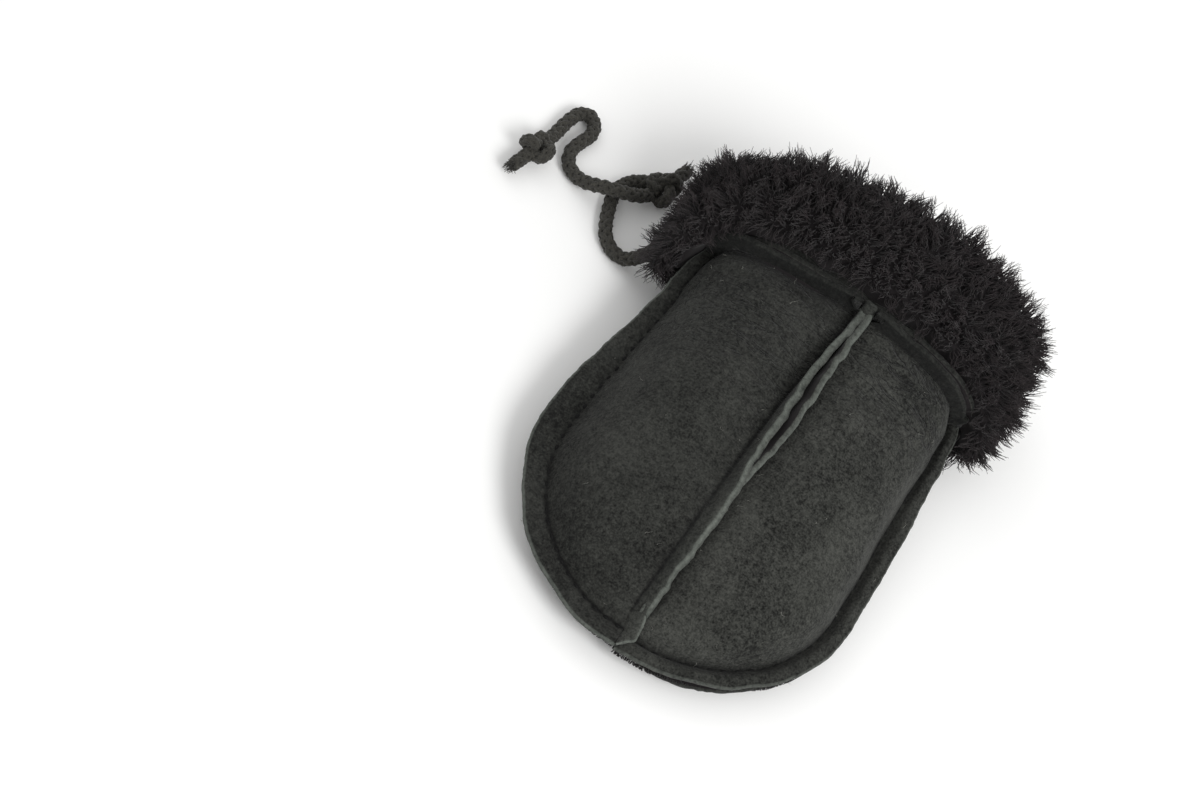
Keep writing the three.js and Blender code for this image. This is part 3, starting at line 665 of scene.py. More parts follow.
def skin_mesh(name, outer, inner, worn, wrapped=False, closed_ends=(True,) * 4, marks=None):
    """A closed skin between two grids, suede outside and wool inside, its cut edges slightly rounded.
    closed_ends says whether the first row, last column, last row and first column have a cut edge"""
    rows, cols = outer.shape[:2]
    count = rows * cols
    index = np.arange(count).reshape(rows, cols)
    across = np.arange(cols if wrapped else cols - 1)
    after = (across + 1) % cols
    a, b = index[:-1][:, across], index[:-1][:, after]
    c, d = index[1:][:, after], index[1:][:, across]
    front = np.stack([a, b, c, d], axis=-1).reshape(-1, 4)
    faces = [front, front[:, ::-1] + count]
    total = 2 * count
    edges = [(index[0], index[1], False), (index[:, -1], index[:, -2], False),
             (index[-1], index[-2], True), (index[:, 0], index[:, 1], True)]
    if wrapped:
        edges = [(np.append(index[0], index[0, 0]), np.append(index[1], index[1, 0]), False), None,
                 (np.append(index[-1], index[-1, 0]), np.append(index[-2], index[-2, 0]), True), None]
    flat_outer, flat_inner, flat_worn = outer.reshape(-1, 3), inner.reshape(-1, 3), worn.ravel()
    points, wear = [flat_outer, flat_inner], [flat_worn, 0 * flat_worn]
    grown_from = [np.arange(count), np.full(count, -1)]     # the outer point whose marks a point takes
    for edge, is_cut in zip(edges, closed_ends):
        if edge is None or not is_cut:
            continue
        line, beside, turned = edge
        away = flat_outer[line] - flat_outer[beside]
        away /= np.maximum(1e-6, np.linalg.norm(away, axis=1, keepdims=True))
        rings = [line]
        for share, paler in CUT_RINGS:
            place = flat_outer[line] * (1 - share) + flat_inner[line] * share
            frayed = CUT_BULGE * (1 - (2 * share - 1)**4) + CUT_FRAY * noise(place, CUT_FRAY_SPACING, 91)
            points.append(place + away * frayed[:, None])
            wear.append(np.minimum(1, flat_worn[line] * paler))
            grown_from.append(line)
            rings.append(np.arange(total, total + len(line)))
            total += len(line)
        rings.append(line + count)
        for first, second in zip(rings, rings[1:]):
            strip = np.stack([first[:-1], second[:-1], second[1:], first[1:]], axis=-1)
            faces.append(strip[:, ::-1] if turned else strip)
    points = np.concatenate(points)
    is_wool = np.zeros(sum(len(f) for f in faces), int)
    is_wool[len(front):2 * len(front)] = 1
    faces = np.concatenate(faces)
    seen = points[faces]
    volume = np.einsum("ij,ij->i", seen[:, 0], np.cross(seen[:, 1], seen[:, 2])).sum()
    volume += np.einsum("ij,ij->i", seen[:, 0], np.cross(seen[:, 2], seen[:, 3])).sum()
    if volume < 0:
        faces = faces[:, ::-1]
    mesh = bpy.data.meshes.new(name)
    mesh.from_pydata((points * MM).tolist(), [], faces.tolist())
    mesh.attributes.new("worn", "FLOAT", "POINT").data.foreach_set("value", np.concatenate(wear))
    grown_from = np.concatenate(grown_from)
    for mark, values in (marks or {}).items():
        drawn = np.where(grown_from < 0, 0, values.ravel()[grown_from])
        mesh.attributes.new(mark, "FLOAT", "POINT").data.foreach_set("value", drawn)
    mesh.materials.append(suede)
    mesh.materials.append(wool)
    mesh.polygons.foreach_set("material_index", is_wool)
    mesh.polygons.foreach_set("use_smooth", np.ones(len(mesh.polygons), bool))
    piece = bpy.data.objects.new(name, mesh)
    bpy.context.scene.collection.objects.link(piece)
    return piece


def merged(piece, distance):
    """The piece with points that lie in one place made one"""
    shape = bmesh.new()
    shape.from_mesh(piece.data)
    bmesh.ops.remove_doubles(shape, verts=shape.verts, dist=distance)
    bmesh.ops.recalc_face_normals(shape, faces=shape.faces)
    shape.to_mesh(piece.data)
    shape.free()
    return piece


CORNER_LIFT = 1.7           # the left panel's corner lies over the right one at the fingertips
CORNER_WIDTH, CORNER_DEPTH = 6, 7
TIP_REGION = dict(y=-68, y_reach=12)
PARTED = dict(x=17, reach=9, up=0.9, down=1.2, out=0.5)     # where the edge's two skins stand apart
EDGE_CURL = {-1: -0.1, 1: 0.9}
EDGE_WAVE, EDGE_WAVE_SPACING = 0.45, 9
EDGE_RAGGED, EDGE_RAGGED_SPACING = 0.35, 2.6    # the first as a share of the wave
EDGE_LIFT, EDGE_LIFT_SPACING = 0.5, 12

# Where the side seam's edge is cut shorter, or with a minus left longer, by less mm, round a place in x or
# y or both. Its reach is how far from that place it still holds. Side 0 is both sides
EDGE_TRIMS = [
    dict(skin="both", side=0, less=1.8, y=SEAM_Y, y_reach=22),
    dict(skin="both", side=1, less=0.3, y=-25, y_reach=22),
    dict(skin="both", side=-1, less=-2.4, y=-25, y_reach=22),
    dict(skin="both", side=0, less=0.8, x=14, x_reach=20, **TIP_REGION),
    dict(skin="both", side=0, less=0.6, x=38, x_reach=9, y=12, y_reach=16),
    dict(skin="both", side=0, less=0.6, x=38, x_reach=9, y=-52, y_reach=14),
    dict(skin="palm", side=-1, less=0.8),
    dict(skin="palm", side=1, less=0.3),
    dict(skin="palm", side=0, less=1.4, x=-2, x_reach=17, **TIP_REGION),
]


def edge_trim(foot, side, is_back):
    """How much shorter the side seam's edge is cut, at points along its stitching"""
    total = np.zeros(foot.shape[:-1])
    for row in EDGE_TRIMS:
        if row["side"] in (0, side) and not (is_back and row["skin"] == "palm"):
            near = [bump(foot[..., k], row[axis], row[axis + "_reach"])
                    for k, axis in enumerate("xy") if axis in row]
            total += row["less"] * math.prod(near)
    return total


def side_rim(face, side, is_back):
    """Columns of the turned-out edge beyond the side stitching, for the back or the palm"""
    foot = face[:, -1:, :]
    out_x, out_y = side * outline_out[:, 0][:, None], outline_out[:, 1][:, None]
    flat = np.concatenate([foot] * len(LIP_STEPS), axis=1)
    far = LIP_STEPS[None, :]
    parted = bump(flat[..., 0], PARTED["x"], PARTED["reach"])
    parted = parted * bump(flat[..., 1], TIP_REGION["y"], TIP_REGION["y_reach"])
    wave = noise(flat, EDGE_WAVE_SPACING, 21 + side) + EDGE_RAGGED * noise(flat, EDGE_RAGGED_SPACING, 25)
    further = 0 if is_back else PARTED["out"]
    reach = far * (SIDE_LIP + EDGE_WAVE * wave + further * parted - edge_trim(flat, side, is_back))
    rim = flat + np.stack([out_x * reach, out_y * reach, 0 * reach], axis=2)
    lift = EDGE_LIFT * noise(flat * 1.3, EDGE_LIFT_SPACING, 23) * far**2
    if is_back:
        curled = EDGE_CURL[side] * np.sin(math.pi * np.minimum(1, far * 1.15))
        lift += SIDE_SEAM_GROOVE[side] * (1 - np.exp(-(far * SIDE_LIP / SIDE_SEAM_REACH) ** 2)) + curled
        lift += PARTED["up"] * parted * far**1.5 * (0.6 + 0.4 * np.sin(flat[..., 0] / 2.6))
    else:
        lift = np.minimum(0, lift) - PARTED["down"] * parted * far**1.5
    rim[..., 2] += lift
    return rim


LIP_UNEVEN, LIP_UNEVEN_SPACING = 0.16, 6        # in height, as shares of it
LIP_RAGGED, LIP_RAGGED_SPACING = 0.07, 1.6
LIP_SWAY, LIP_SWAY_SPACING = 0.8, 8             # from side to side, in mm
LIP_RIPPLE, LIP_RIPPLE_SPACING = 0.5, 3.2


def centre_lip(face, side):
    """Columns of the turned-out edge at the centre seam, edge first"""
    foot = face[:, :1, :]
    lean = np.radians(lean_at[side](row_centre))[:, None]
    tall = (tall_at[side](row_centre) * CENTRE_LIP)[:, None]
    steps = LIP_STEPS[::-1][None, :]
    ragged = 1 + LIP_UNEVEN * noise(foot, LIP_UNEVEN_SPACING, 31 + side)
    ragged = ragged + LIP_RAGGED * noise(foot, LIP_RAGGED_SPACING, 33)
    sway = LIP_SWAY * noise(foot, LIP_SWAY_SPACING, 35 + side)
    sway = (sway + LIP_RIPPLE * noise(foot, LIP_RIPPLE_SPACING, 37 + side)) * steps**2
    lip = foot + np.stack([np.sin(lean) * tall * steps * ragged + np.cos(lean) * sway,
                           0 * steps + 0 * lean,
                           np.cos(lean) * tall * steps * ragged - np.sin(lean) * sway], axis=2)
    return lip


LIP_SWELL = 0.35            # how much thicker a centre lip is at its cut edge than at its foot


def lip_step(side, share=1):
    """From a centre lip's outer to its inner face: the skin swells to its cut edge"""
    lean = np.radians(lean_at[side](row_centre))
    thick = -side * LIP_SKIN * share
    return thick * np.stack([np.cos(lean), 0 * lean, -np.sin(lean)], axis=1)


CUFF_LIP_SHOWN = 0.88       # share of the cuff seam's edge that stands straight, before it rolls
BUNCH_WIDTH, BUNCH_BACK, BUNCH_UP = 2.6, -1.7, 0.9      # where the centre seam runs into it
CUFF_CORNER = dict(x=-42, reach=7, out=3.6)             # it reaches past the left panel's corner


def cuff_lip(first, upwards):
    """Rows of the cuff seam's turned-out edge before a grid's first row, edge first"""
    across = np.gradient(first, axis=0)
    outward = np.stack([-across[:, 2], 0 * across[:, 0], across[:, 0]], axis=1)
    outward /= np.maximum(1e-6, np.linalg.norm(outward, axis=1, keepdims=True))
    outward *= np.where(outward[:, 2] * upwards < 0, -1, 1)[:, None]
    rows = []
    for step in LIP_STEPS[::-1]:
        tall = CUFF_LIP_SHOWN * CUFF_LIP * step * (1 + 0.1 * noise(first, 7, 41)[:, None])
        row = first + outward * tall
        row[:, 1] += LIP_SKIN / 2 * step + 0.4 * step * noise(first, 9, 43)
        if upwards > 0:
            bunched = bump(first[:, 0], SEAM_SWAY, BUNCH_WIDTH) * step
            row += np.stack([0 * bunched, BUNCH_BACK * bunched, BUNCH_UP * bunched], axis=1)
            corner = bump(first[:, 0], CUFF_CORNER["x"], CUFF_CORNER["reach"]) * step
            row[:, 0] -= CUFF_CORNER["out"] * corner
        rows.append(row)
    return np.stack(rows)


CORNER_SHARE = 0.3
CREASED_MIDDLE = {-1: (-20, 14, 0), 1: (22, 26, 0)}     # of the finely creased patch on each panel
CREASED_LONGER, CREASED_REACH = 1.6, 13                 # the patch is this much longer in x
LEAST_WORN, CENTRE_WORN = 0.02, 0.3
SIDE_WORN = {-1: 0.28, 1: 0.16}

# Where each seam's stitching starts, and where its edge does, by side, for the pieces that follow them
stitch_feet = {}
centre_feet = {}


def centre_wear(lips):
    """How rubbed a centre lip is, from its cut edge to its foot"""
    return LEAST_WORN + CENTRE_WORN * np.linspace(1, 0, lips + 1) ** 6


def back_wear(side, columns, lips):
    """How rubbed the suede is: pale on the centre seam's edges, less on the sides', little elsewhere"""
    wear = np.full((len(row_side), columns), 0.0)
    wear[:, :lips + 1] = centre_wear(lips)
    wear[:, -1] = SIDE_WORN[side]
    return np.concatenate([np.full((lips, columns), LEAST_WORN), wear])


def back_creases(side, face, from_seam):
    """Where the suede is finely creased: a patch on each panel, and a little by the seams"""
    away = (face - CREASED_MIDDLE[side])[..., :2] / (CREASED_LONGER, 1)
    near = bump(np.linalg.norm(away, axis=-1), 0, CREASED_REACH)
    at_cuff = np.exp(-(SEAM_Y - face[..., 1]) / 9)
    return np.clip(0.9 * near + 0.35 * at_cuff + 0.25 * np.exp(-from_seam / 5) + 0.1, 0, 1)


PRESSED_AND_SHADED_LINE = 0.75         # how dark the suede is painted along its stitching: the seam's own dark and painted shade in its groove
SIDE_LINE_WIDTH, CENTRE_LINE_WIDTH = 0.6, 0.9
# Painted shade: over the whole left panel, over the side rims, and a broad painted shadow in the valley
# before the cuff seam, wider at the left
FACE_PAINTED_SHADE = {-1: 0.33, 1: 0.06}
RIM_PAINTED_SHADE = {-1: 0.45, 1: 0.3}
VALLEY_SHADE_WIDTH = 1.8
LEFT_VALLEY_SHADE = dict(wider=2.4, x=-22, reach=17)


def pressed_lines(side, face, from_seam, from_side, columns):
    """Where the suede is painted dark: pressed and with painted shade along the stitching, and painted shade
    in the valley before the cuff seam, over the left panel, on the rims and on the lips
    """
    lips = len(LIP_STEPS)
    at_cuff = SEAM_Y - face[..., 1]
    wider = LEFT_VALLEY_SHADE["wider"] * bump(face[..., 0], LEFT_VALLEY_SHADE["x"], LEFT_VALLEY_SHADE["reach"])
    broad = VALLEY_SHADE_WIDTH + (wider if side < 0 else 0)
    drawn = PRESSED_AND_SHADED_LINE if side > 0 else 0.2 + 0.65 * bump(face[..., 1], -60, 22)
    line = drawn * bump(from_side, 0, SIDE_LINE_WIDTH) + PRESSED_AND_SHADED_LINE * bump(from_seam, 0, CENTRE_LINE_WIDTH)
    line += FACE_PAINTED_SHADE[side] + np.exp(-(np.maximum(0, at_cuff) / broad) ** 1.6)
    whole = np.full((lips + len(face), columns), RIM_PAINTED_SHADE[side])
    whole[lips:, lips:-lips] = np.minimum(1, line)
    whole[lips:, :lips] = np.linspace(0.1, 0.55, lips)
    whole[:lips] = 1.0
    whole[0] = 0.75
    return whole


FLAP_ROWS = 22
FLAP_LIFT = 0.3
FLAP_SKIN = 0.9             # as a share of a lip's thickness


def corner_flap(lip, face, rim):
    """The left panel's edge from the end of its centre lip out to its corner, over the right panel"""
    lips = len(LIP_STEPS)
    line = np.concatenate([face[-1], rim[-1]])
    reached = np.concatenate([[0], np.cumsum(np.linalg.norm(np.diff(line, axis=0), axis=1))])
    even = np.linspace(0, reached[-1], FLAP_ROWS)
    foot = np.stack([np.interp(even, reached, line[:, axis]) for axis in range(3)], axis=1)
    share = even / reached[-1]
    lean = np.radians(lean_at[-1](1.0) + (90 - lean_at[-1](1.0)) * np.minimum(1, share * 1.6))
    tall = np.linalg.norm(lip[-1, 0] - face[-1, 0]) * (1 - 0.25 * share)
    tall = tall * np.clip((1.02 - share) / 0.42, 0, 1)
    steps = np.concatenate([LIP_STEPS[::-1], [0]])[None, :]
    grid = foot[:, None, :] + np.stack([
        (np.sin(lean) * tall)[:, None] * steps, 0 * lean[:, None] * steps,
        (np.cos(lean) * tall)[:, None] * steps + 0.35 * np.sin(steps * math.pi)], axis=2)
    start = np.concatenate([lip[-1], face[-1, :1]])
    grid += (start - grid[0]) * np.exp(-share * 4)[:, None, None]
    down = np.stack([np.cos(lean), 0 * lean, -np.sin(lean)], axis=1)[:, None, :] * LIP_SKIN * FLAP_SKIN
    wear = centre_wear(lips) * np.ones((len(even), 1))
    wear[0] = LEAST_WORN
    grid[..., 2] += FLAP_LIFT
    # Painted shade, darkest where the flap starts and at its foot
    marks = {"pressed": 0.1 + 0.5 * np.exp(-share * 6)[:, None] * (1 - steps)}
    return skin_mesh("corner_flap", grid, grid + down, wear, marks=marks)


def back_piece(side):
    name = "back_suede_left" if side < 0 else "back_suede_right"
    face, from_seam, from_side = back_face(side)
    smooth = back_face(side, 0)[0]
    normals = grid_normals(face, -side)
    normals[-5:] = (0, 0, 1)
    creased = back_creases(side, face, from_seam)
    face = face + normals * back_relief(side, face, from_seam, from_side)[..., None]
    face[0, :, 1] -= SEAM_GAP / 2 + LIP_SKIN
    if side < 0:
        lifted = CORNER_LIFT * bump(face[..., 0], 0, CORNER_WIDTH)
        lifted = lifted * bump(face[..., 1], TIP_REGION["y"], CORNER_DEPTH)
        face[..., 2] += lifted
        smooth[..., 2] += lifted
    stitch_feet[side] = face[:, -1] + 0
    centre_feet[side] = face[:, 0] + 0
    lip = centre_lip(face, side)
    rim = side_rim(face, side, True)
    grid = np.concatenate([lip, face, rim], axis=1)
    lips = len(LIP_STEPS)
    inward = grid_normals(smooth, -side) * -SKIN
    inward[-5:] = (0, 0, -LIP_SKIN)
    swollen = np.stack([lip_step(side, 1 + LIP_SWELL * step) for step in LIP_STEPS[::-1]], axis=1)
    inner = np.concatenate([lip + swollen, smooth + inward, rim - (0, 0, LIP_SKIN)], axis=1)
    inner[:, lips] = face[:, 0] + lip_step(side)
    inner[:, lips + len(BACK_SHARES) - 1] = face[:, -1] - (0, 0, LIP_SKIN)
    inner[0] = grid[0] + (0, LIP_SKIN, 0)
    edge = cuff_lip(grid[0], 1)
    edge[:, :lips] = edge[:, lips:lips + 1] + (grid[0, :lips] - grid[0, lips]) * CORNER_SHARE
    whole = np.concatenate([edge, grid])
    inner = np.concatenate([edge + (0, LIP_SKIN, 0), inner])
    drawn = np.zeros(whole.shape[:2])
    drawn[lips:, lips:-lips] = creased
    marks = {"creased": drawn, "pressed": pressed_lines(side, face, from_seam, from_side, whole.shape[1])}
    piece = skin_mesh(name, whole, inner, back_wear(side, whole.shape[1], lips), marks=marks)
    return joined(name, [piece, corner_flap(lip, face, rim)]) if side < 0 else piece


CROSSING_SIZE, CROSSING_CORE = (2.0, 1.6, 2.7), (1.0, 0.8, 1.4)     # half sizes, outside and inside
CROSSING_BACK, CROSSING_UP = -0.4, 1.6


def seam_crossing():
    """The bunched ends of the centre seam's edges, where the cuff seam crosses them"""
    turn, rise = np.meshgrid(np.linspace(0, 2 * math.pi, 29)[:-1],
                             np.linspace(-math.pi / 2, math.pi / 2, 17))
    ball = np.stack([np.cos(rise) * np.cos(turn), np.cos(rise) * np.sin(turn), np.sin(rise)], axis=2)
    folded = 1 + 0.16 * np.sin(3 * turn + 1) * np.cos(rise) + 0.12 * noise(ball * 3, 1.6, 81)
    place = np.array([SEAM_SWAY, SEAM_Y + CROSSING_BACK, BACK_HEIGHT + CROSSING_UP])
    grid = place + ball * folded[..., None] * CROSSING_SIZE
    core = place + ball * CROSSING_CORE
    # The bunched ends are painted darker all over, as shade
    return skin_mesh("seam_crossing", grid, core, np.full(grid.shape[:2], 0.05), wrapped=True,
                     closed_ends=(False,) * 4, marks={"pressed": np.full(grid.shape[:2], 0.45)})


def palm_face():
    """The palm's outer face, from its middle to the right side's stitching"""
    share = PALM_SHARES[None, :]
    side_z = (side_at(row_side) * SIDE_HEIGHT - SEAM_GAP / 2 - LIP_SKIN)[:, None]
    low_z = (palm_at(row_palm) * PALM_RISE - REST_DEPTH)[:, None]
    centre_y = (SEAM_Y - row_palm * BODY_LENGTH)[:, None]
    x = stitch_line[:, 0][:, None] * share
    y = centre_y + (stitch_line[:, 1][:, None] - centre_y) * share
    z = side_z + (low_z - side_z) * dome(share, round_at(row_side)[:, None])
    return np.stack([x, y + 0 * x, z], axis=2)


PALM_LUMP, PALM_SPACING = 0.3, 9
PALM_DENT, PALM_DENT_SPACING = 0.12, 4
PALM_PRESSED = 3            # below this height the floor keeps the palm smooth
# The palm is painted a little dark, and its edge darker, as painted shade
PALM_MARKS = dict(worn=0.03, pressed=0.1, edge_pressed=0.5)


def palm_half(side):
    face = palm_face() * (side, 1, 1)
    normals = grid_normals(face, side)
    bumps = PALM_LUMP * noise(face, PALM_SPACING, 51) + PALM_DENT * noise(face, PALM_DENT_SPACING, 53)
    clear = np.clip(face[..., 2] / PALM_PRESSED, 0, 1) * np.clip(PALM_SHARES * 6, 0, 1)
    dented = face + normals * (bumps * clear)[..., None]
    dented[..., 2] = np.maximum(0, dented[..., 2])
    dented[:, 0, 0] = 0
    dented[0, :, 1] -= SEAM_GAP / 2 + LIP_SKIN
    rim = side_rim(dented, side, False)
    grid = np.concatenate([dented, rim], axis=1)
    inward = normals * -SKIN
    inward[:, 0, 0] = 0
    inward[-1, :, 0] = 0
    inner = np.concatenate([dented + inward, rim + (0, 0, LIP_SKIN)], axis=1)
    inner[:, len(PALM_SHARES) - 1] = dented[:, -1] + (0, 0, LIP_SKIN)
    inner[0] = grid[0] + (0, LIP_SKIN, 0)
    edge = cuff_lip(grid[0], -1)
    edge[:, 0, 0] = 0
    whole = np.concatenate([edge, grid])
    inner = np.concatenate([edge + (0, LIP_SKIN, 0), inner])
    whole[-1, :, 0] = 0
    inner[-1, :, 0] = 0
    worn = np.full(whole.shape[:2], PALM_MARKS["worn"])
    pressed = np.full(whole.shape[:2], PALM_MARKS["pressed"])
    pressed[:, -len(LIP_STEPS):] = PALM_MARKS["edge_pressed"]
    return skin_mesh(f"palm_half_{side}", whole, inner, worn, closed_ends=(True, True, False, False),
                     marks={"pressed": pressed})


back_left = joined("back_suede_left", [back_piece(-1), seam_crossing()])
back_right = back_piece(1)
palm = merged(joined("palm_suede", [palm_half(-1), palm_half(1)]), 0.004 * MM)


FILLING_HALF, FILLING_DROP, FILLING_DEPTH = 1.3, 0.6, 0.9


def seam_filling():
    """The wool pressed between the two panels, under the centre seam's edges"""
    middle = (centre_feet[-1] + centre_feet[1]) / 2
    middle[:, 2] = np.minimum(centre_feet[-1][:, 2], centre_feet[1][:, 2]) - 0.5
    across = np.array([(-FILLING_HALF, 0, -FILLING_DROP), (0, 0, 0), (FILLING_HALF, 0, -FILLING_DROP)])
    top = (middle[:, None, :] + across)[:-8]
    filling = skin_mesh("centre_seam_wool", top, top - (0, 0, FILLING_DEPTH), np.zeros(top.shape[:2]))
    filling.data.materials.clear()
    filling.data.materials.append(wool)
    return filling


# Cuff

# The suede tube of the cuff, and the roll of wool over it, in mm as in the solids
BAND_LENGTH = 23
BAND_FLARE = 2
BAND_LIP_LEAST, BAND_LIP_MORE = 0.15, 0.6       # shares of its lip that show at the left and on to the right
BAND_LIP_FROM, BAND_LIP_OVER = 14, 4            # where in x it comes to show, and over what width
MOUTH_SLANT = 0.13
FUR_DEPTH = 9.5
FUR_INSIDE = 3
FUR_TURN = 9
FUR_PAST = 6
LEFT_SPREAD = 2.4           # how much further out the wool stands at the left
RING_COLUMNS = 240


def cuff_ring():
    """Points of the tube's outer face at the cuff seam, all round, and their outward directions"""
    turn = 2 * math.pi * (np.arange(RING_COLUMNS) + 0.5) / RING_COLUMNS
    rise = np.where(np.sin(turn) > 0, BACK_HEIGHT - SIDE_HEIGHT, SIDE_HEIGHT - PALM_RISE)
    power = 2 / BACK_ROUNDNESS
    x = stitch_line[0, 0] * np.sign(np.cos(turn)) * np.abs(np.cos(turn)) ** power
    z = SIDE_HEIGHT + rise * np.sign(np.sin(turn)) * np.abs(np.sin(turn)) ** power
    ahead = np.stack([np.roll(x, -1) - np.roll(x, 1), np.roll(z, -1) - np.roll(z, 1)], axis=1)
    ahead /= np.linalg.norm(ahead, axis=1, keepdims=True)
    return x, z, ahead[:, 1], -ahead[:, 0]


ring_x, ring_z, out_x, out_z = cuff_ring()


def cuff_points(back, reach):
    """A row of the cuff: back from the cuff seam and out from the tube's outer face, both in mm"""
    reach = reach + BAND_FLARE * np.clip(back / BAND_LENGTH, 0, 1)
    slant = MOUTH_SLANT * np.maximum(0, back - 2 * LIP_SKIN) * ring_x / ring_x.max()
    return np.stack([ring_x + out_x * reach, SEAM_Y + back + slant, ring_z + out_z * reach], axis=1)


def band_piece():
    foot = SEAM_GAP / 2 + LIP_SKIN
    first = cuff_points(foot + 0 * ring_x, 0 * ring_x)
    rows = []
    for step in LIP_STEPS[::-1]:
        shown = BAND_LIP_LEAST + BAND_LIP_MORE / (1 + np.exp(-(ring_x - BAND_LIP_FROM) / BAND_LIP_OVER))
        tall = BAND_LIP * shown * step * (1 + 0.12 * noise(first, 8, 61))
        rows.append(cuff_points(foot + LIP_SKIN / 2 * step + 0.35 * step * noise(first, 7, 63), tall))
    for share in np.linspace(0, 1, 14):
        rows.append(cuff_points(foot + share * (BAND_LENGTH - foot) + 0 * ring_x, 0 * ring_x))
    grid = np.stack(rows)
    lips = len(LIP_STEPS)
    inner = grid + 0
    inner[:lips + 1] = grid[:lips + 1] - (0, LIP_SKIN, 0)
    inner[lips + 1:, :, 0] -= out_x * SKIN
    inner[lips + 1:, :, 2] -= out_z * SKIN
    # The band is painted darker all over, as shade under the wool
    return skin_mesh("cuff_band_suede", grid, inner, np.full(grid.shape[:2], 0.02), wrapped=True,
                     marks={"pressed": np.full(grid.shape[:2], 0.6)})


def roll_section(count):
    """The wool's outer section, from the seam over the outside and round into the mouth, evenly spaced"""
    front = SEAM_GAP * 1.5 + LIP_SKIN * 1.5
    deep = SKIN + FUR_INSIDE
    past = BAND_LENGTH + FUR_PAST

    def bent(a, b, c, d):
        t = np.linspace(0, 1, 60)[:, None]
        a, b, c, d = (np.array(p, float) for p in (a, b, c, d))
        return a * (1 - t)**3 + 3 * b * t * (1 - t)**2 + 3 * c * t**2 * (1 - t) + d * t**3

    top = FUR_DEPTH * 1.08
    line = np.concatenate([
        bent((front + 0.6, CUFF_LIP), (front - 0.8, FUR_DEPTH * 0.8), (front + 3, FUR_DEPTH * 1.02),
             (front + 9, top)),
        bent((BAND_LENGTH - 2, top), (past - 2, FUR_DEPTH * 1.04), (past, FUR_DEPTH * 0.5), (past, 0)),
        bent((past, 0), (past, -deep * 0.7), (past - FUR_PAST / 2, -deep), (BAND_LENGTH - 1, -deep)),
        [(BAND_LENGTH - FUR_TURN, -deep)]])
    reached = np.concatenate([[0], np.cumsum(np.linalg.norm(np.diff(line, axis=0), axis=1))])
    even = np.linspace(0, reached[-1], count)
    return np.stack([np.interp(even, reached, line[:, axis]) for axis in (0, 1)], axis=1)


WOOL_DEPTH = 2.4            # from the wool's outer face down to the felted mass that locks grow from

# Over the ends of the side seams the wool hangs, by so much in x, y and z
LEFT_HANG, RIGHT_HANG = (-0.8, -19, -1), (2.2, -9.5, -1)
HANG_HEIGHT, HANG_TALL = 15, 11
# Behind the back's cuff seam the roll stands out round one place in x, and is drawn in round another
ROLL_SWELLS = [
    dict(x=6, reach=30, back=3.2, up=1.8),
    dict(x=-46, reach=10, back=-2.8, up=-3),
]
# Shares of the roll's section where it hangs and where it swells: the middle and how far it reaches
HANG_PART, SWELL_PART = (0.12, 0.2), (0.55, 0.28)
WOOL_LUMPS = [dict(high=1.1, apart=10, seed=77), dict(high=0.9, apart=5.2, seed=79)]
WOOL_FLOOR, CORE_FLOOR = 0.5, 0.1       # least heights of the face that locks grow from and of the mass


def wool_face(rows, first=0.0, last=1.0, skip=1):
    """The felted face between two shares of the wool's section, with every skip-th column kept"""
    section = roll_section(rows)
    ahead = np.gradient(section, axis=0)
    ahead /= np.linalg.norm(ahead, axis=1, keepdims=True)
    aside = (np.abs(out_x) ** 1.5 * bump(ring_z, HANG_HEIGHT, HANG_TALL))[:, None]
    hang = np.where(out_x[:, None] < 0, LEFT_HANG, RIGHT_HANG) * aside
    swell = sum((bump(ring_x, row["x"], row["reach"]) * (ring_z > SIDE_HEIGHT))[:, None]
                * (0, row["back"], row["up"]) for row in ROLL_SWELLS)
    made = []
    for k in range(round(first * (rows - 1)), round(last * (rows - 1)) + 1):
        share = k / (rows - 1)
        place, (along, rise) = section[k], ahead[k]
        sunk = WOOL_DEPTH * min(1, share * 8 + 0.2, (1 - share) * 6 + 0.1)
        spread = np.where(place[1] > CUFF_LIP, np.where(ring_x < 0, LEFT_SPREAD, 0) * out_x**2, 0)
        row = cuff_points(place[0] + rise * sunk + 0 * ring_x, place[1] - along * sunk + spread)
        made.append(row + hang * bump(share, *HANG_PART) + swell * bump(share, *SWELL_PART))
    grid = np.stack(made)
    clumped = sum(row["high"] * noise(grid, row["apart"], row["seed"]) for row in WOOL_LUMPS)
    grid = (grid + grid_normals(grid, -1) * clumped[..., None])[:, ::skip]
    grid[..., 2] = np.maximum(WOOL_FLOOR, grid[..., 2])
    return grid


TURN_START, TURN_END = 0.62, 0.7    # shares of the section between which it goes round the mouth's edge
TURN_SLOPE = 40
CORE_LUMP, CORE_SPACING, CORE_SUNK = 0.4, 2.4, 0.3


def wool_core():
    """The felted mass under the locks, as a closed skin over the tube and into the mouth"""
    grid = wool_face(56)
    under = []
    for k in range(len(grid)):
        share = k / (len(grid) - 1)
        sunk = max(0, share - TURN_START) * TURN_SLOPE
        depth = max(-SKIN - SEAM_GAP, SEAM_GAP - sunk)
        back = np.clip(grid[k, :, 1] - SEAM_Y, LIP_SKIN * 2, BAND_LENGTH + SEAM_GAP)
        if share > TURN_END:
            inside = (share - TURN_END) / (1 - TURN_END)
            back = BAND_LENGTH + SEAM_GAP - inside * (FUR_TURN + SEAM_GAP) + 0 * ring_x
        under.append(cuff_points(back, depth + 0 * ring_x))
    normals = grid_normals(grid, -1)
    grid = grid + normals * (CORE_LUMP * noise(grid, CORE_SPACING, 73) - CORE_SUNK)[..., None]
    grid[..., 2] = np.maximum(CORE_FLOOR, grid[..., 2])
    core = skin_mesh("cuff_wool_core", grid, np.stack(under), np.zeros(grid.shape[:2]), wrapped=True)
    core.data.materials.clear()
    core.data.materials.append(wool)
    return core


cuff_band = band_piece()
cuff_core = wool_core()


SWAY_SIZE = 6               # over how many mm neighbouring strands sway the same way


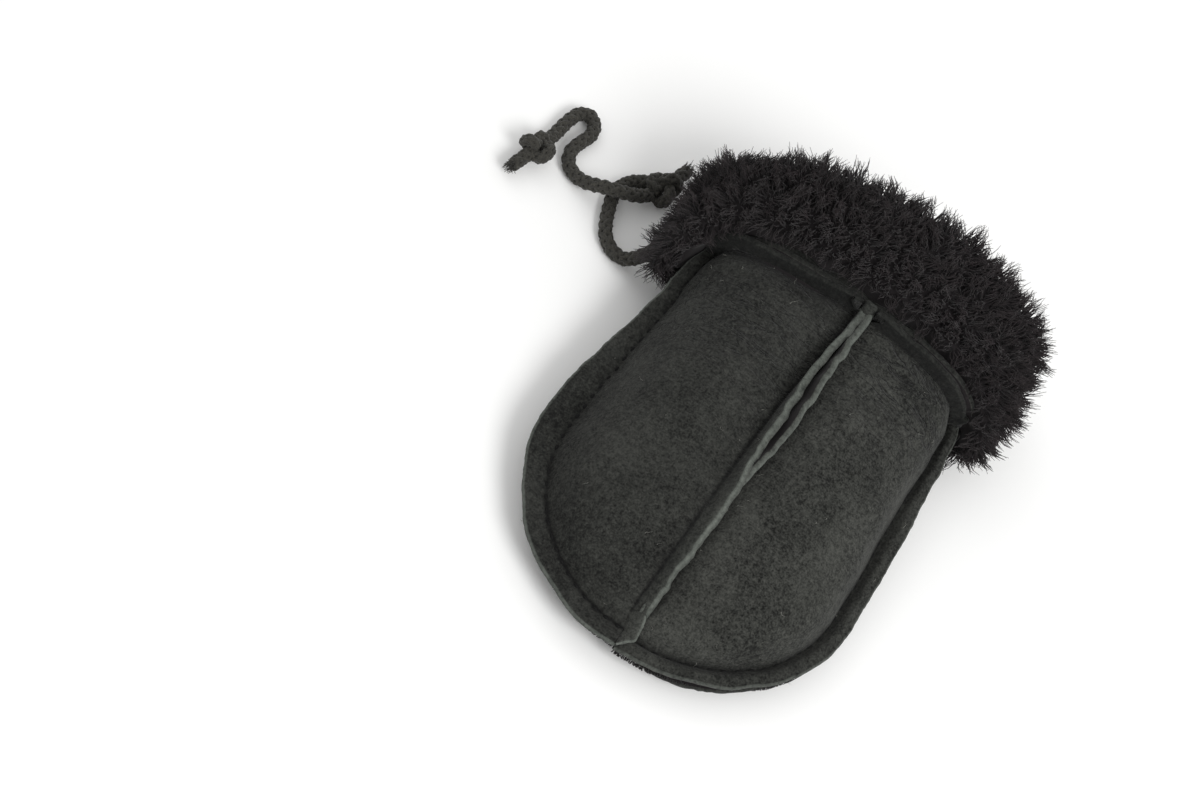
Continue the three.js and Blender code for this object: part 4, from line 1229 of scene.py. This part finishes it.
def strand_tree():
    """Curly strands grown from a mesh, drawn together into locks"""
    tree, given = node_group("wool_strands", {
        "Density": "Float", "Length": "Float", "Root radius": "Float", "Lean": "Vector", "Curl": "Float",
        "Curl turns": "Float", "Tilt": "Float", "Sway": "Float", "Lock size": "Float", "Lock pull": "Float",
        "Floor": "Float", "Seed": "Int", "Material": "Material"})
    roots = add(tree, "GeometryNodeDistributePointsOnFaces", {
        "Mesh": out(given, "Geometry"), "Density": out(given, "Density"), "Seed": out(given, "Seed")})
    root_place = out(add(tree, "GeometryNodeInputPosition"))
    marked = add(tree, "GeometryNodeStoreNamedAttribute", {
        "Geometry": out(roots, "Points"), "Name": "root", "Value": root_place}, data_type="FLOAT_VECTOR")
    strand = add(tree, "GeometryNodeCurvePrimitiveLine", {"Start": (0, 0, 0), "End": (0, 0, 1)})
    bends = add(tree, "GeometryNodeResampleCurve", {"Curve": out(strand), "Count": 5}, mode="COUNT")
    spin = add(tree, "FunctionNodeRandomValue", {"Min": 0.0, "Max": 2 * math.pi,
                                                 "Seed": out(given, "Seed")}, data_type="FLOAT")
    about = add(tree, "FunctionNodeAxisAngleToRotation", {"Axis": (0, 0, 1), "Angle": out(spin)})
    turned = add(tree, "FunctionNodeRotateRotation", {
        "Rotation": out(roots, "Rotation"), "Rotate By": out(about)}, rotation_space="LOCAL")
    uneven = add(tree, "FunctionNodeRandomValue", {"Min": 0.8, "Max": 1.12, "Seed": 5}, data_type="FLOAT")
    tall = add(tree, "ShaderNodeMath", {0: out(uneven), 1: out(given, "Length")}, operation="MULTIPLY")
    scale = add(tree, "ShaderNodeCombineXYZ", {"X": 1.0, "Y": 1.0, "Z": out(tall)})
    planted = add(tree, "GeometryNodeInstanceOnPoints", {
        "Points": out(marked), "Instance": out(bends), "Rotation": out(turned), "Scale": out(scale)})
    real = add(tree, "GeometryNodeRealizeInstances", {"Geometry": out(planted)})
    along = out(add(tree, "GeometryNodeSplineParameter"), "Factor")
    root = out(add(tree, "GeometryNodeInputNamedAttribute", {"Name": "root"}, data_type="FLOAT_VECTOR"))

    bend = out(add(tree, "ShaderNodeMath", {0: along, 1: 1.5}, operation="POWER"))
    root_mm = add(tree, "ShaderNodeVectorMath", {0: root, "Scale": 1 / MM}, operation="SCALE")
    chance = add(tree, "ShaderNodeTexWhiteNoise", {"Vector": out(root_mm)}, noise_dimensions="3D")
    aside = add(tree, "ShaderNodeVectorMath", {0: out(chance, "Color"), 1: (0.5, 0.5, 0.5)},
                operation="SUBTRACT")
    tilt = add(tree, "ShaderNodeVectorMath", {0: out(aside), "Scale": out(given, "Tilt")}, operation="SCALE")
    wound = add(tree, "ShaderNodeMath", {0: along, 1: out(given, "Curl turns"), 2: out(chance, "Value")},
                operation="MULTIPLY_ADD")
    angle = out(add(tree, "ShaderNodeMath", {0: out(wound), 1: 2 * math.pi}, operation="MULTIPLY"))
    later = out(add(tree, "ShaderNodeMath", {0: angle, 1: 2.1}, operation="ADD"))
    ring = add(tree, "ShaderNodeCombineXYZ", {
        "X": out(add(tree, "ShaderNodeMath", {0: angle}, operation="COSINE")),
        "Y": out(add(tree, "ShaderNodeMath", {0: angle}, operation="SINE")),
        "Z": out(add(tree, "ShaderNodeMath", {0: later}, operation="SINE"))})
    curl = add(tree, "ShaderNodeVectorMath", {0: out(ring), "Scale": out(given, "Curl")}, operation="SCALE")
    field = add(tree, "ShaderNodeTexNoise", {"Vector": root, "Scale": per_mm(SWAY_SIZE), "Detail": 1.0})
    drift = add(tree, "ShaderNodeVectorMath", {0: out(field, "Color"), 1: (0.5, 0.5, 0.5)},
                operation="SUBTRACT")
    sway = add(tree, "ShaderNodeVectorMath", {0: out(drift), "Scale": out(given, "Sway")}, operation="SCALE")
    lock = add(tree, "ShaderNodeMath", {0: 1.0, 1: out(given, "Lock size")}, operation="DIVIDE")
    cells = add(tree, "ShaderNodeTexVoronoi", {"Vector": root, "Scale": out(lock)})
    to_tip = add(tree, "ShaderNodeVectorMath", {0: out(cells, "Position"), 1: root}, operation="SUBTRACT")
    pull = add(tree, "ShaderNodeVectorMath", {0: out(to_tip), "Scale": out(given, "Lock pull")},
               operation="SCALE")
    drawn = add(tree, "ShaderNodeVectorMath", {0: out(sway), 1: out(pull)}, operation="ADD")
    leant = add(tree, "ShaderNodeVectorMath", {0: out(tilt), 1: out(given, "Lean")}, operation="ADD")
    both = add(tree, "ShaderNodeVectorMath", {0: out(drawn), 1: out(leant)}, operation="ADD")
    bent = add(tree, "ShaderNodeVectorMath", {0: out(both), "Scale": bend}, operation="SCALE")
    curled = add(tree, "ShaderNodeVectorMath", {0: out(curl), "Scale": along}, operation="SCALE")
    offset = out(add(tree, "ShaderNodeVectorMath", {0: out(bent), 1: out(curled)}, operation="ADD"))
    moved = add(tree, "GeometryNodeSetPosition", {"Geometry": out(real), "Offset": offset})
    place = out(add(tree, "GeometryNodeInputPosition"))
    parts = add(tree, "ShaderNodeSeparateXYZ", {"Vector": place})
    above = add(tree, "ShaderNodeMath", {0: out(parts, "Z"), 1: out(given, "Floor")}, operation="MAXIMUM")
    lifted = add(tree, "ShaderNodeCombineXYZ", {"X": out(parts, "X"), "Y": out(parts, "Y"),
                                                "Z": out(above)})
    kept = add(tree, "GeometryNodeSetPosition", {"Geometry": out(moved), "Position": out(lifted)})
    thinner = add(tree, "ShaderNodeMapRange", {"Value": along, "To Min": 1.0, "To Max": 0.25})
    radius = add(tree, "ShaderNodeMath", {0: out(thinner), 1: out(given, "Root radius")},
                 operation="MULTIPLY")
    shaded = add(tree, "GeometryNodeStoreNamedAttribute", {
        "Geometry": out(kept), "Name": "along", "Value": along}, data_type="FLOAT")
    section = add(tree, "GeometryNodeCurvePrimitiveCircle", {"Resolution": 3, "Radius": 1.0})
    tube = add(tree, "GeometryNodeCurveToMesh", {"Curve": out(shaded), "Profile Curve": out(section),
                                                 "Scale": out(radius), "Fill Caps": True})
    smooth = add(tree, "GeometryNodeSetShadeSmooth", {"Geometry": out(tube)})
    finish = add(tree, "GeometryNodeSetMaterial", {"Geometry": out(smooth),
                                                   "Material": out(given, "Material")})
    add(tree, "NodeGroupOutput", {"Geometry": out(finish)})
    return tree


strands = strand_tree()


def base_mesh(name, points, faces):
    """A mesh to grow things on, with its points in mm"""
    mesh = bpy.data.meshes.new(name)
    mesh.from_pydata((np.asarray(points) * MM).tolist(), [], np.asarray(faces).tolist())
    base = bpy.data.objects.new(name, mesh)
    bpy.context.scene.collection.objects.link(base)
    return base


def strip_faces(rows, cols, wrapped):
    """The four-cornered faces of a grid of points, closed round where it is wrapped"""
    index = np.arange(rows * cols).reshape(rows, cols)
    if wrapped:
        index = np.concatenate([index, index[:, :1]], axis=1)
    corners = [index[:-1, :-1], index[1:, :-1], index[1:, 1:], index[:-1, 1:]]
    return np.stack(corners, axis=-1).reshape(-1, 4)


def wool_base(name, first, last):
    """Part of the roll's felted face, for locks to grow from"""
    grid = wool_face(70, first, last, 2)
    return base_mesh(name, grid.reshape(-1, 3), strip_faces(*grid.shape[:2], True))


def strand_values(**changes):
    """The strands' inputs, from sizes in mm. A strand is drawn thicker than a fibre, so that it shows"""
    row = dict(density=2.35e6, length=3.1, radius=0.18, lean=(0, 0, 0), curl=0.6, turns=1.0, tilt=2.4,
               sway=6, lock=4.2, pull=0.68, seed=1, material=wool)
    row.update(changes)
    return {"Density": row["density"], "Length": row["length"] * MM, "Root radius": row["radius"] * MM,
            "Lean": [v * MM for v in row["lean"]], "Curl": row["curl"] * MM, "Curl turns": row["turns"],
            "Tilt": row["tilt"] * MM, "Sway": row["sway"] * MM, "Lock size": row["lock"] * MM,
            "Lock pull": row["pull"], "Floor": 0.3 * MM, "Seed": row["seed"], "Material": row["material"]}


WOOL_LOCKS = {
    "cuff_wool_front": dict(part=(0.0, 0.27), seed=3, lean=(0, -0.4, 0), density=2.15e6),
    "cuff_wool_top": dict(part=(0.27, 0.52), seed=4, lean=(0, 0.4, 0)),
    "cuff_wool_edge": dict(part=(0.52, 0.78), seed=5, lean=(0, 0.8, 0)),
    "cuff_wool_mouth": dict(part=(0.78, 1.0), seed=6, lean=(0, 0.6, 0), density=1.6e6),
}
wool_pieces = [cuff_core]
for name, row in WOOL_LOCKS.items():
    values = strand_values(**{key: row[key] for key in row if key != "part"})
    wool_pieces.append(grown(name, wool_base(name + "_base", *row["part"]), strands, values))
for piece in wool_pieces:
    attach(piece, "root")
    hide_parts("cuff_fur")


SEAM_WOOL_START = -18       # wool shows in the side seam from here to the fingertips
SEAM_WOOL_INSET, SEAM_WOOL_ABOVE, SEAM_WOOL_BELOW = 0.4, 0.5, 0.3


def seam_wool_base(side):
    """A narrow strip between the two skins of the side seam, round the fingertips, facing outwards"""
    rows = np.nonzero(outline[:, 1] < SEAM_WOOL_START)[0]
    out_x, out_y = side * outline_out[rows, 0], outline_out[rows, 1]
    outward = np.stack([out_x, out_y, 0 * out_x], axis=1)
    inset = stitch_feet[side][rows] + outward * (SIDE_LIP - SEAM_WOOL_INSET)
    middle = inset[:, 2] - LIP_SKIN - 0.2
    grid = np.stack([inset, inset])
    grid[0, :, 2], grid[1, :, 2] = middle + SEAM_WOOL_ABOVE, middle - SEAM_WOOL_BELOW
    faces = strip_faces(*grid.shape[:2], False)
    return base_mesh(f"seam_wool_base_{side}", grid.reshape(-1, 3), faces if side > 0 else faces[:, ::-1])


SEAM_WOOL = dict(density=9e6, length=2.1, radius=0.16, curl=0.3, tilt=2, sway=1.5, pull=0.2,
                 lean=(0, 0, -0.5))
seam_wool = joined("side_seam_wool", [
    grown(f"seam_wool_{side}", seam_wool_base(side), strands, strand_values(**SEAM_WOOL, seed=8 + side))
    for side in (-1, 1)] + [seam_filling()])
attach(seam_wool, "root")

# Stitches


def stitch_tree():
    """Short stitches laid end to end along a curve, with the holes between them left open"""
    tree, given = node_group("stitch_run", {
        "Spacing": "Float", "Length": "Float", "Radius": "Float", "Material": "Material"})
    spots = add(tree, "GeometryNodeCurveToPoints", {
        "Curve": out(given, "Geometry"), "Length": out(given, "Spacing")}, mode="LENGTH")
    thread_end = add(tree, "GeometryNodeMeshIcoSphere", {"Radius": 1.0, "Subdivisions": 2})
    half = add(tree, "ShaderNodeMath", {0: out(given, "Length"), 1: 0.5}, operation="MULTIPLY")
    size = add(tree, "ShaderNodeCombineXYZ", {"X": out(given, "Radius"), "Y": out(given, "Radius"),
                                              "Z": out(half)})
    placed = add(tree, "GeometryNodeInstanceOnPoints", {
        "Points": out(spots, "Points"), "Instance": out(thread_end), "Rotation": out(spots, "Rotation"),
        "Scale": out(size)})
    real = add(tree, "GeometryNodeRealizeInstances", {"Geometry": out(placed)})
    smooth = add(tree, "GeometryNodeSetShadeSmooth", {"Geometry": out(real)})
    finish = add(tree, "GeometryNodeSetMaterial", {"Geometry": out(smooth),
                                                   "Material": out(given, "Material")})
    add(tree, "NodeGroupOutput", {"Geometry": out(finish)})
    return tree


STITCH_SPACING, STITCH_LENGTH, STITCH_RADIUS, STITCH_SUNK = 3.4, 1.7, 0.5, 0.1
stitch_run = stitch_tree()
runs = []
for side in (-1, 1):
    for label, sunk in (("back", STITCH_SUNK), ("palm", 2 * LIP_SKIN + SEAM_GAP - STITCH_SUNK)):
        run = line_object(f"stitches_{label}_{side}_line", (stitch_feet[side] - (0, 0, sunk))[2:-2])
        runs.append(grown(f"stitches_{label}_{side}", run, stitch_run, {
            "Spacing": STITCH_SPACING * MM, "Length": STITCH_LENGTH * MM, "Radius": STITCH_RADIUS * MM,
            "Material": thread}))
stitches = joined("side_seam_stitches", runs)
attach(stitches, "root")

# Frayed cord ends and lint


FRAY = dict(density=9e6, length=2.0, radius=0.2, curl=0.3, tilt=2, sway=1.0, pull=0.0, seed=12,
            material=yarn)
FRAY_RING = 1.6             # radius over which a cut end's fibres start
FRAY_SUNK = 0.6             # how far inside the cut end they start


def frayed_end(name, place, tail):
    """Loose yarn ends that stand out of the cut end of a knot's tail"""
    place, tail = np.array(place), np.array(tail)
    away = (tail - place) / np.linalg.norm(tail - place)
    beside = np.cross(away, (0, 0, 1))
    beside /= np.linalg.norm(beside)
    above = np.cross(beside, away)
    turn = np.linspace(0, 2 * math.pi, 12, endpoint=False)[:, None]
    ring = tail - away * FRAY_SUNK + FRAY_RING * (np.cos(turn) * beside + np.sin(turn) * above)
    base = base_mesh(name + "_base", ring, [list(range(12))])
    if base.data.polygons[0].normal.dot(Vector(away)) < 0:
        base.data.flip_normals()
    return grown(name, base, strands, strand_values(**FRAY))


for name, place, tail in (("cord_knot_fray", KNOT_PLACE, KNOT_TAIL),
                          ("cord_end_knot_fray", END_KNOT_PLACE, END_KNOT_TAIL)):
    fray = frayed_end(name, place, tail)
    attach(fray, "root")


LINT = dict(density=3200, length=0.5, radius=0.06, curl=0.4, tilt=2.2, sway=2, pull=0.0, material=lint)


def lint_on(piece, seed):
    """Loose fibres on a suede piece"""
    base = bpy.data.objects.new(piece.name + "_lint_base", piece.data.copy())
    bpy.context.scene.collection.objects.link(base)
    return grown(piece.name + "_lint", base, strands, strand_values(**LINT, seed=seed))


suede_lint = joined("suede_lint", [lint_on(back_left, 21), lint_on(back_right, 22)])
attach(suede_lint, "root")

for piece, node in ((back_left, "back_panel_left"), (back_right, "back_panel_right"),
                    (palm, "palm_panel"), (cuff_band, "cuff_band")):
    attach(piece, "root")
    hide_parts(node)

# Floor and light


def soft_light(name, place, size, power):
    data = bpy.data.lights.new(name, "AREA")
    data.shape = "DISK"
    data.size = size
    data.energy = power
    light = bpy.data.objects.new(name, data)
    light.location = place
    light.rotation_euler = (-Vector(place)).to_track_quat("-Z", "Y").to_euler()
    bpy.context.scene.collection.objects.link(light)


# Plain paper: white and matte, so that only its shadows show
PAPER_WHITE = "#fbfbfa"
FLOOR_SIZE = 6
SKY_LIGHT = 0.72

bpy.ops.mesh.primitive_plane_add(size=FLOOR_SIZE)
floor = bpy.context.object
floor.name = "floor"
floor_material, _, floor_shader = new_material("paper_white")
floor_shader.inputs["Base Color"].default_value = colour(PAPER_WHITE)
floor_shader.inputs["Roughness"].default_value = 0.9
floor.data.materials.append(floor_material)

world = bpy.data.worlds.new("studio")
world.use_nodes = True
world.node_tree.nodes["Background"].inputs["Color"].default_value = (1, 1, 1, 1)
world.node_tree.nodes["Background"].inputs["Strength"].default_value = SKY_LIGHT
bpy.context.scene.world = world
bpy.context.scene.view_settings.view_transform = "Standard"
soft_light("key", (0.75, -0.45, 0.9), 0.6, 9)
soft_light("fill", (-0.8, 0.5, 0.8), 0.8, 1)
